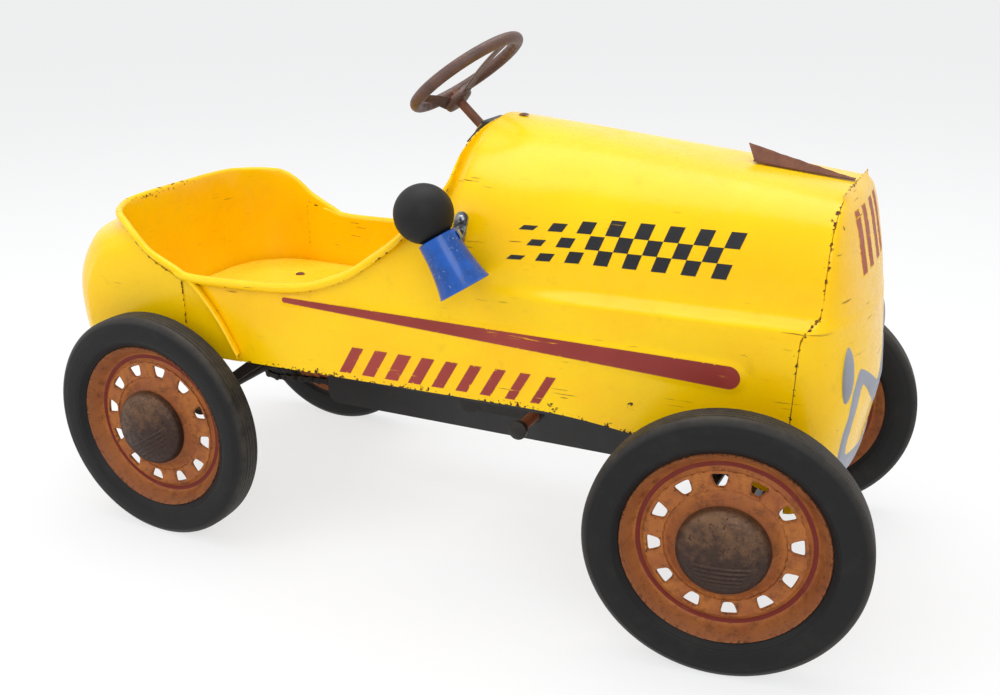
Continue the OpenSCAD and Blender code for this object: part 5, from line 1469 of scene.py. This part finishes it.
class PEDALCAR_OT_steering(bpy.types.Operator):
    """Make the steering wheel with its bent rim and pressed spokes"""
    bl_idname = "pedal_car.steering"
    bl_label = "Steering wheel"

    def execute(self, context):
        hub = np.array(joint_point("column_turn")) + HUB_BACK * COLUMN_AXIS
        shapes = [self.rim()] + [self.spoke(hub, math.radians(a)) for a in SPOKE_ANGLES]
        boss = turned([(4.8, -4), (13.5, -4), (15.6, -2.2), (16, 0), (15, 2.6), (11, 4),
                       (4.8, 4)], 64)
        lean = np.array(Matrix.Rotation(COLUMN_TILT - math.pi, 3, "Y")
                        @ Matrix.Rotation(math.pi / 2, 3, "Z"))
        shapes.append((boss[0] @ lean.T + hub, boss[1]))
        piece("steering_wheel_skin", joined(*shapes), MATERIALS["paint_steering_brown"],
              "steering", ["steering_wheel"], sharp=50)
        return {"FINISHED"}

    def rim(self):
        """Round tube with moulded grips under it, about 12 mm apart."""
        rim = []
        for a in np.linspace(0, 2 * math.pi, 160, endpoint=False):
            grip = 0.35 * math.cos(a * 32)
            rim.append([tilted(RIM_MID, RIM_TILT, a,
                               RIM_R + (TUBE_R + grip * (math.cos(b) < -0.2)) * math.cos(b),
                               TUBE_R * math.sin(b))
                        for b in np.linspace(0, 2 * math.pi, 24, endpoint=False)])
        return welded(*grid(rim + rim[:1], closed=True))

    def spoke(self, hub, a):
        """Pressed channel from the hub to the rim: thin, with its edges turned down."""
        start = tilted(hub, COLUMN_TILT, a, 9, 0.5)
        end = tilted(RIM_MID, RIM_TILT, a, RIM_R - 2)
        across = np.cross(unit(end - start), COLUMN_AXIS)
        top = np.cross(across, unit(end - start))
        rows = []
        for t in np.linspace(0, 1, 22):
            middle = lerp(start, end, t) + SPOKE_BOW * math.sin(math.pi * t)
            wide = lerp(8.5, 5.2, smooth(t * 1.3)) + 2.2 * smooth((t - 0.85) * 6)
            rows.append([middle + across * wide * math.sin(b)
                         + top * (1.5 * math.cos(b) - 1.6 * math.sin(b) ** 2)
                         for b in np.linspace(0, 2 * math.pi, SPOKE_POINTS, endpoint=False)])
        points, faces = grid(rows, closed=True)
        first, last = range(SPOKE_POINTS), range(len(points) - SPOKE_POINTS, len(points))
        return points, faces + [tuple(reversed(first)), tuple(last)]


# Ornament: a strip folded to a ridge, high at the back and pointed at the front

ORNAMENT_H, ORNAMENT_SHEET = 15.0, 1.1
# Share of the strip's half width that is wall, the rest being flange, and the flange's height
WALL_SHARE, FLANGE_Z = 0.72, 0.9


class PEDALCAR_OT_ornament(bpy.types.Operator):
    """Make the folded ridge on top of the hood"""
    bl_idname = "pedal_car.ornament"
    bl_label = "Hood ornament"

    def execute(self, context):
        low, high = (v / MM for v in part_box("hood_ornament"))
        length = high.x - low.x - 1
        rows = []
        for t in np.linspace(0, 1, 60):
            x = low.x + 0.3 + length * t
            floor = hood_top(x) + 0.3
            # Its height wavers a little along its length, as a strip bent by hand does
            wall = lerp(ORNAMENT_H, 1.2, t ** 0.9) + 0.5 * noise.noise(Vector((x / 9, 0, 1)))
            wide = lerp(7.0, 2.2, t)
            row = []
            for s in np.linspace(-1, 1, 41):
                # Two walls fall from a ridge, then turn outwards to a flange on the hood
                part = abs(s)
                if part < WALL_SHARE:
                    down = part / WALL_SHARE
                    y, z = wide * down ** 1.15, max(FLANGE_Z, wall * (1 - down) ** 0.94)
                else:
                    flange = (part - WALL_SHARE) / (1 - WALL_SHARE)
                    y, z = wide + lerp(3.6, 1.4, t) * flange, FLANGE_Z
                lean = 8 * (1 - z / ORNAMENT_H) * (1 - t) ** 5
                row.append((x + lean, math.copysign(y, s), floor + z))
            rows.append(row)
        points, faces = grid(rows)
        above = (low.x + 50, 0, 480)
        sheet("ornament_strip", (points, faces), ORNAMENT_SHEET, above,
              border_wear(points, faces, 3), "steel_browned", "hood_ornament")
        return {"FINISHED"}


# Pieces whose solids already have the right shape get their finish only
NODE_FINISHES = {
    "paint_chassis_black": [
        "column_bracket", "column_foot", "frame_rail_left", "frame_rail_right", "cross_members",
        "crank_hanger_left", "crank_hanger_right", "chain_guard", "front_axle", "knuckle_left",
        "knuckle_right", "tie_rod"],
    "steel_rusted": ["frame_bolts", "pedal_left", "pedal_right"],
    "steel_browned": ["steering_column", "steering_nut", "body_bolts"],
    "steel_chain_oiled": ["chain", "rear_sprocket", "drive_sprocket", "crankshaft", "rear_axle"],
    "steel_galvanised": ["kingpins", "stub_pins_left", "stub_pins_right", "tie_rod_bolts",
                         "rear_axle_pins", "horn_bracket"],
    "brass_turned": ["crank_bushes", "rear_bearings", "column_bush", "horn_reed"],
}


class PEDALCAR_OT_chassis(bpy.types.Operator):
    """Give the chassis, drive and fastenings their finishes"""
    bl_idname = "pedal_car.chassis"
    bl_label = "Chassis and drive finishes"

    def execute(self, context):
        for finish, names in NODE_FINISHES.items():
            for name in names:
                for slot in frame["nodes"][name].material_slots:
                    slot.material = MATERIALS[finish]
        return {"FINISHED"}


# Stage, lamps and camera

# Camera: place in metres, then turn to the left, tilt down and roll in degrees, and its focal
# length and the middle of the lens in the photograph's pixels
CAMERA_AT = (0.5471, -1.0608, 0.6383)
CAMERA_TURN, CAMERA_DOWN, CAMERA_ROLL = 25.72, 20.56, -0.53
PHOTO_W, PHOTO_H = 1000, 695
FOCAL_PX, LENS_X, LENS_Y = 1149.9, 504.0, 357.1
SENSOR = 36.0
# Soft lamps: place and aim in metres, size in metres and power in watts
LIGHTS = (
    ("lamp_above", (-0.2, 0.2, 2.3), (0, 0, 0.2), (2.4, 1.6), 34),
    ("lamp_front", (1.4, -2.0, 1.7), (0.1, 0, 0.25), (1.6, 1.2), 19),
    ("lamp_side", (-1.8, -1.7, 1.5), (-0.1, 0, 0.2), (1.4, 1.2), 12))
FLOOR_HALF = 30.0
# Share of the floor that shows as plain white instead of taking light and shadow
FLOOR_GLOW = 0.7


def seen_directly(owner):
    """1 for rays from the camera, off gloss or through glass, and 0 for the light itself."""
    path = add(owner, "LightPath")
    seen = path.outputs["Is Camera Ray"]
    for ray in ("Is Glossy Ray", "Is Transmission Ray"):
        seen = add(owner, "Math", {0: seen, 1: path.outputs[ray]}, operation="MAXIMUM")
    return seen


class PEDALCAR_OT_stage(bpy.types.Operator):
    """Make the pale floor, the soft studio light and the camera"""
    bl_idname = "pedal_car.stage"
    bl_label = "Stage and camera"

    def execute(self, context):
        scene = context.scene
        turn, down, roll = (math.radians(v) for v in (CAMERA_TURN, CAMERA_DOWN, CAMERA_ROLL))
        ahead = Vector((-math.sin(turn) * math.cos(down), math.cos(turn) * math.cos(down),
                        -math.sin(down)))
        right = Vector((math.cos(turn), math.sin(turn), 0))
        up = right.cross(ahead)
        right, up = (math.cos(roll) * right + math.sin(roll) * up,
                     math.cos(roll) * up - math.sin(roll) * right)
        lens = bpy.data.cameras.new("camera")
        lens.sensor_width = SENSOR
        lens.lens = FOCAL_PX / PHOTO_W * SENSOR
        lens.shift_x = (PHOTO_W / 2 - LENS_X) / PHOTO_W
        lens.shift_y = (LENS_Y - PHOTO_H / 2) / PHOTO_W
        lens.clip_end = 200
        camera = bpy.data.objects.new("camera", lens)
        scene.collection.objects.link(camera)
        camera.matrix_world = Matrix((
            (right.x, up.x, -ahead.x, CAMERA_AT[0]), (right.y, up.y, -ahead.y, CAMERA_AT[1]),
            (right.z, up.z, -ahead.z, CAMERA_AT[2]), (0, 0, 0, 1)))
        scene.camera = camera
        scene.view_settings.view_transform = "Standard"
        self.floor()
        self.world(scene)
        for name, at, aim, size, power in LIGHTS:
            light = bpy.data.lights.new(name, "AREA")
            light.shape = "RECTANGLE"
            light.size, light.size_y = size
            light.energy = power
            lamp = bpy.data.objects.new(name, light)
            scene.collection.objects.link(lamp)
            lamp.matrix_world = (Matrix.Translation(at)
                                 @ (Vector(aim) - Vector(at)).to_track_quat("-Z", "Y")
                                 .to_matrix().to_4x4())
        return {"FINISHED"}

    def floor(self):
        """Wide matt white floor that keeps the car's shadow."""
        m, _ = started("stage_white")
        share = add(m, "Math", {0: seen_directly(m), 1: FLOOR_GLOW}, operation="MULTIPLY")
        paper = add(m, "BsdfDiffuse", {"Color": rgba("F7F7F8")})
        glow = add(m, "Emission", {"Color": rgba("FFFFFF"), "Strength": 1.0})
        finished(m, add(m, "MixShader", {0: share, 1: paper, 2: glow}))
        corners = ((-1, -1), (1, -1), (1, 1), (-1, 1))
        mesh = bpy.data.meshes.new("floor")
        mesh.from_pydata([(FLOOR_HALF * x, FLOOR_HALF * y, 0) for x, y in corners], [],
                         [(0, 1, 2, 3)])
        mesh.materials.append(m)
        floor = bpy.data.objects.new("floor", mesh)
        bpy.context.scene.collection.objects.link(floor)

    def world(self, scene):
        """Even sky light, seen as white behind the car."""
        world = bpy.data.worlds.new("studio")
        scene.world = world
        world.use_nodes = True
        world.node_tree.nodes.clear()
        seen = seen_directly(world)
        sky = add(world, "Background", {"Color": rgba("F4F6FA"), "Strength": 0.62})
        white = add(world, "Background", {"Color": rgba("FFFFFF"), "Strength": 1.0})
        mixed = add(world, "MixShader", {0: seen, 1: sky, 2: white})
        add(world, "OutputWorld", {"Surface": mixed})


class PEDALCAR_PT_panel(bpy.types.Panel):
    """Sidebar panel with a button for each group of pieces"""
    bl_idname = "PEDALCAR_PT_panel"
    bl_label = "Pedal car"
    bl_space_type = "VIEW_3D"
    bl_region_type = "UI"
    bl_category = "Pedal car"

    def draw(self, context):
        for group in (context.scene.pedal_car_sizes, context.scene.pedal_car_colours):
            box = self.layout.box()
            for name in group.__annotations__:
                box.prop(group, name)
        for step in STEPS:
            self.layout.operator(step.bl_idname)


STEPS = (
    PEDALCAR_OT_materials, PEDALCAR_OT_hood, PEDALCAR_OT_nose, PEDALCAR_OT_seat,
    PEDALCAR_OT_marks, PEDALCAR_OT_wheels, PEDALCAR_OT_horn, PEDALCAR_OT_steering,
    PEDALCAR_OT_ornament, PEDALCAR_OT_chassis, PEDALCAR_OT_stage)
CLASSES = (PedalCarSizes, PedalCarColours, *STEPS, PEDALCAR_PT_panel)


def register():
    for each in CLASSES:
        bpy.utils.register_class(each)
    bpy.types.Scene.pedal_car_sizes = bpy.props.PointerProperty(type=PedalCarSizes)
    bpy.types.Scene.pedal_car_colours = bpy.props.PointerProperty(type=PedalCarColours)


def unregister():
    del bpy.types.Scene.pedal_car_sizes
    del bpy.types.Scene.pedal_car_colours
    for each in reversed(CLASSES):
        bpy.utils.unregister_class(each)


def main():
    register()
    for step in STEPS:
        group, name = step.bl_idname.split(".")
        getattr(getattr(bpy.ops, group), name)()


if __name__ == "__main__":
    main()
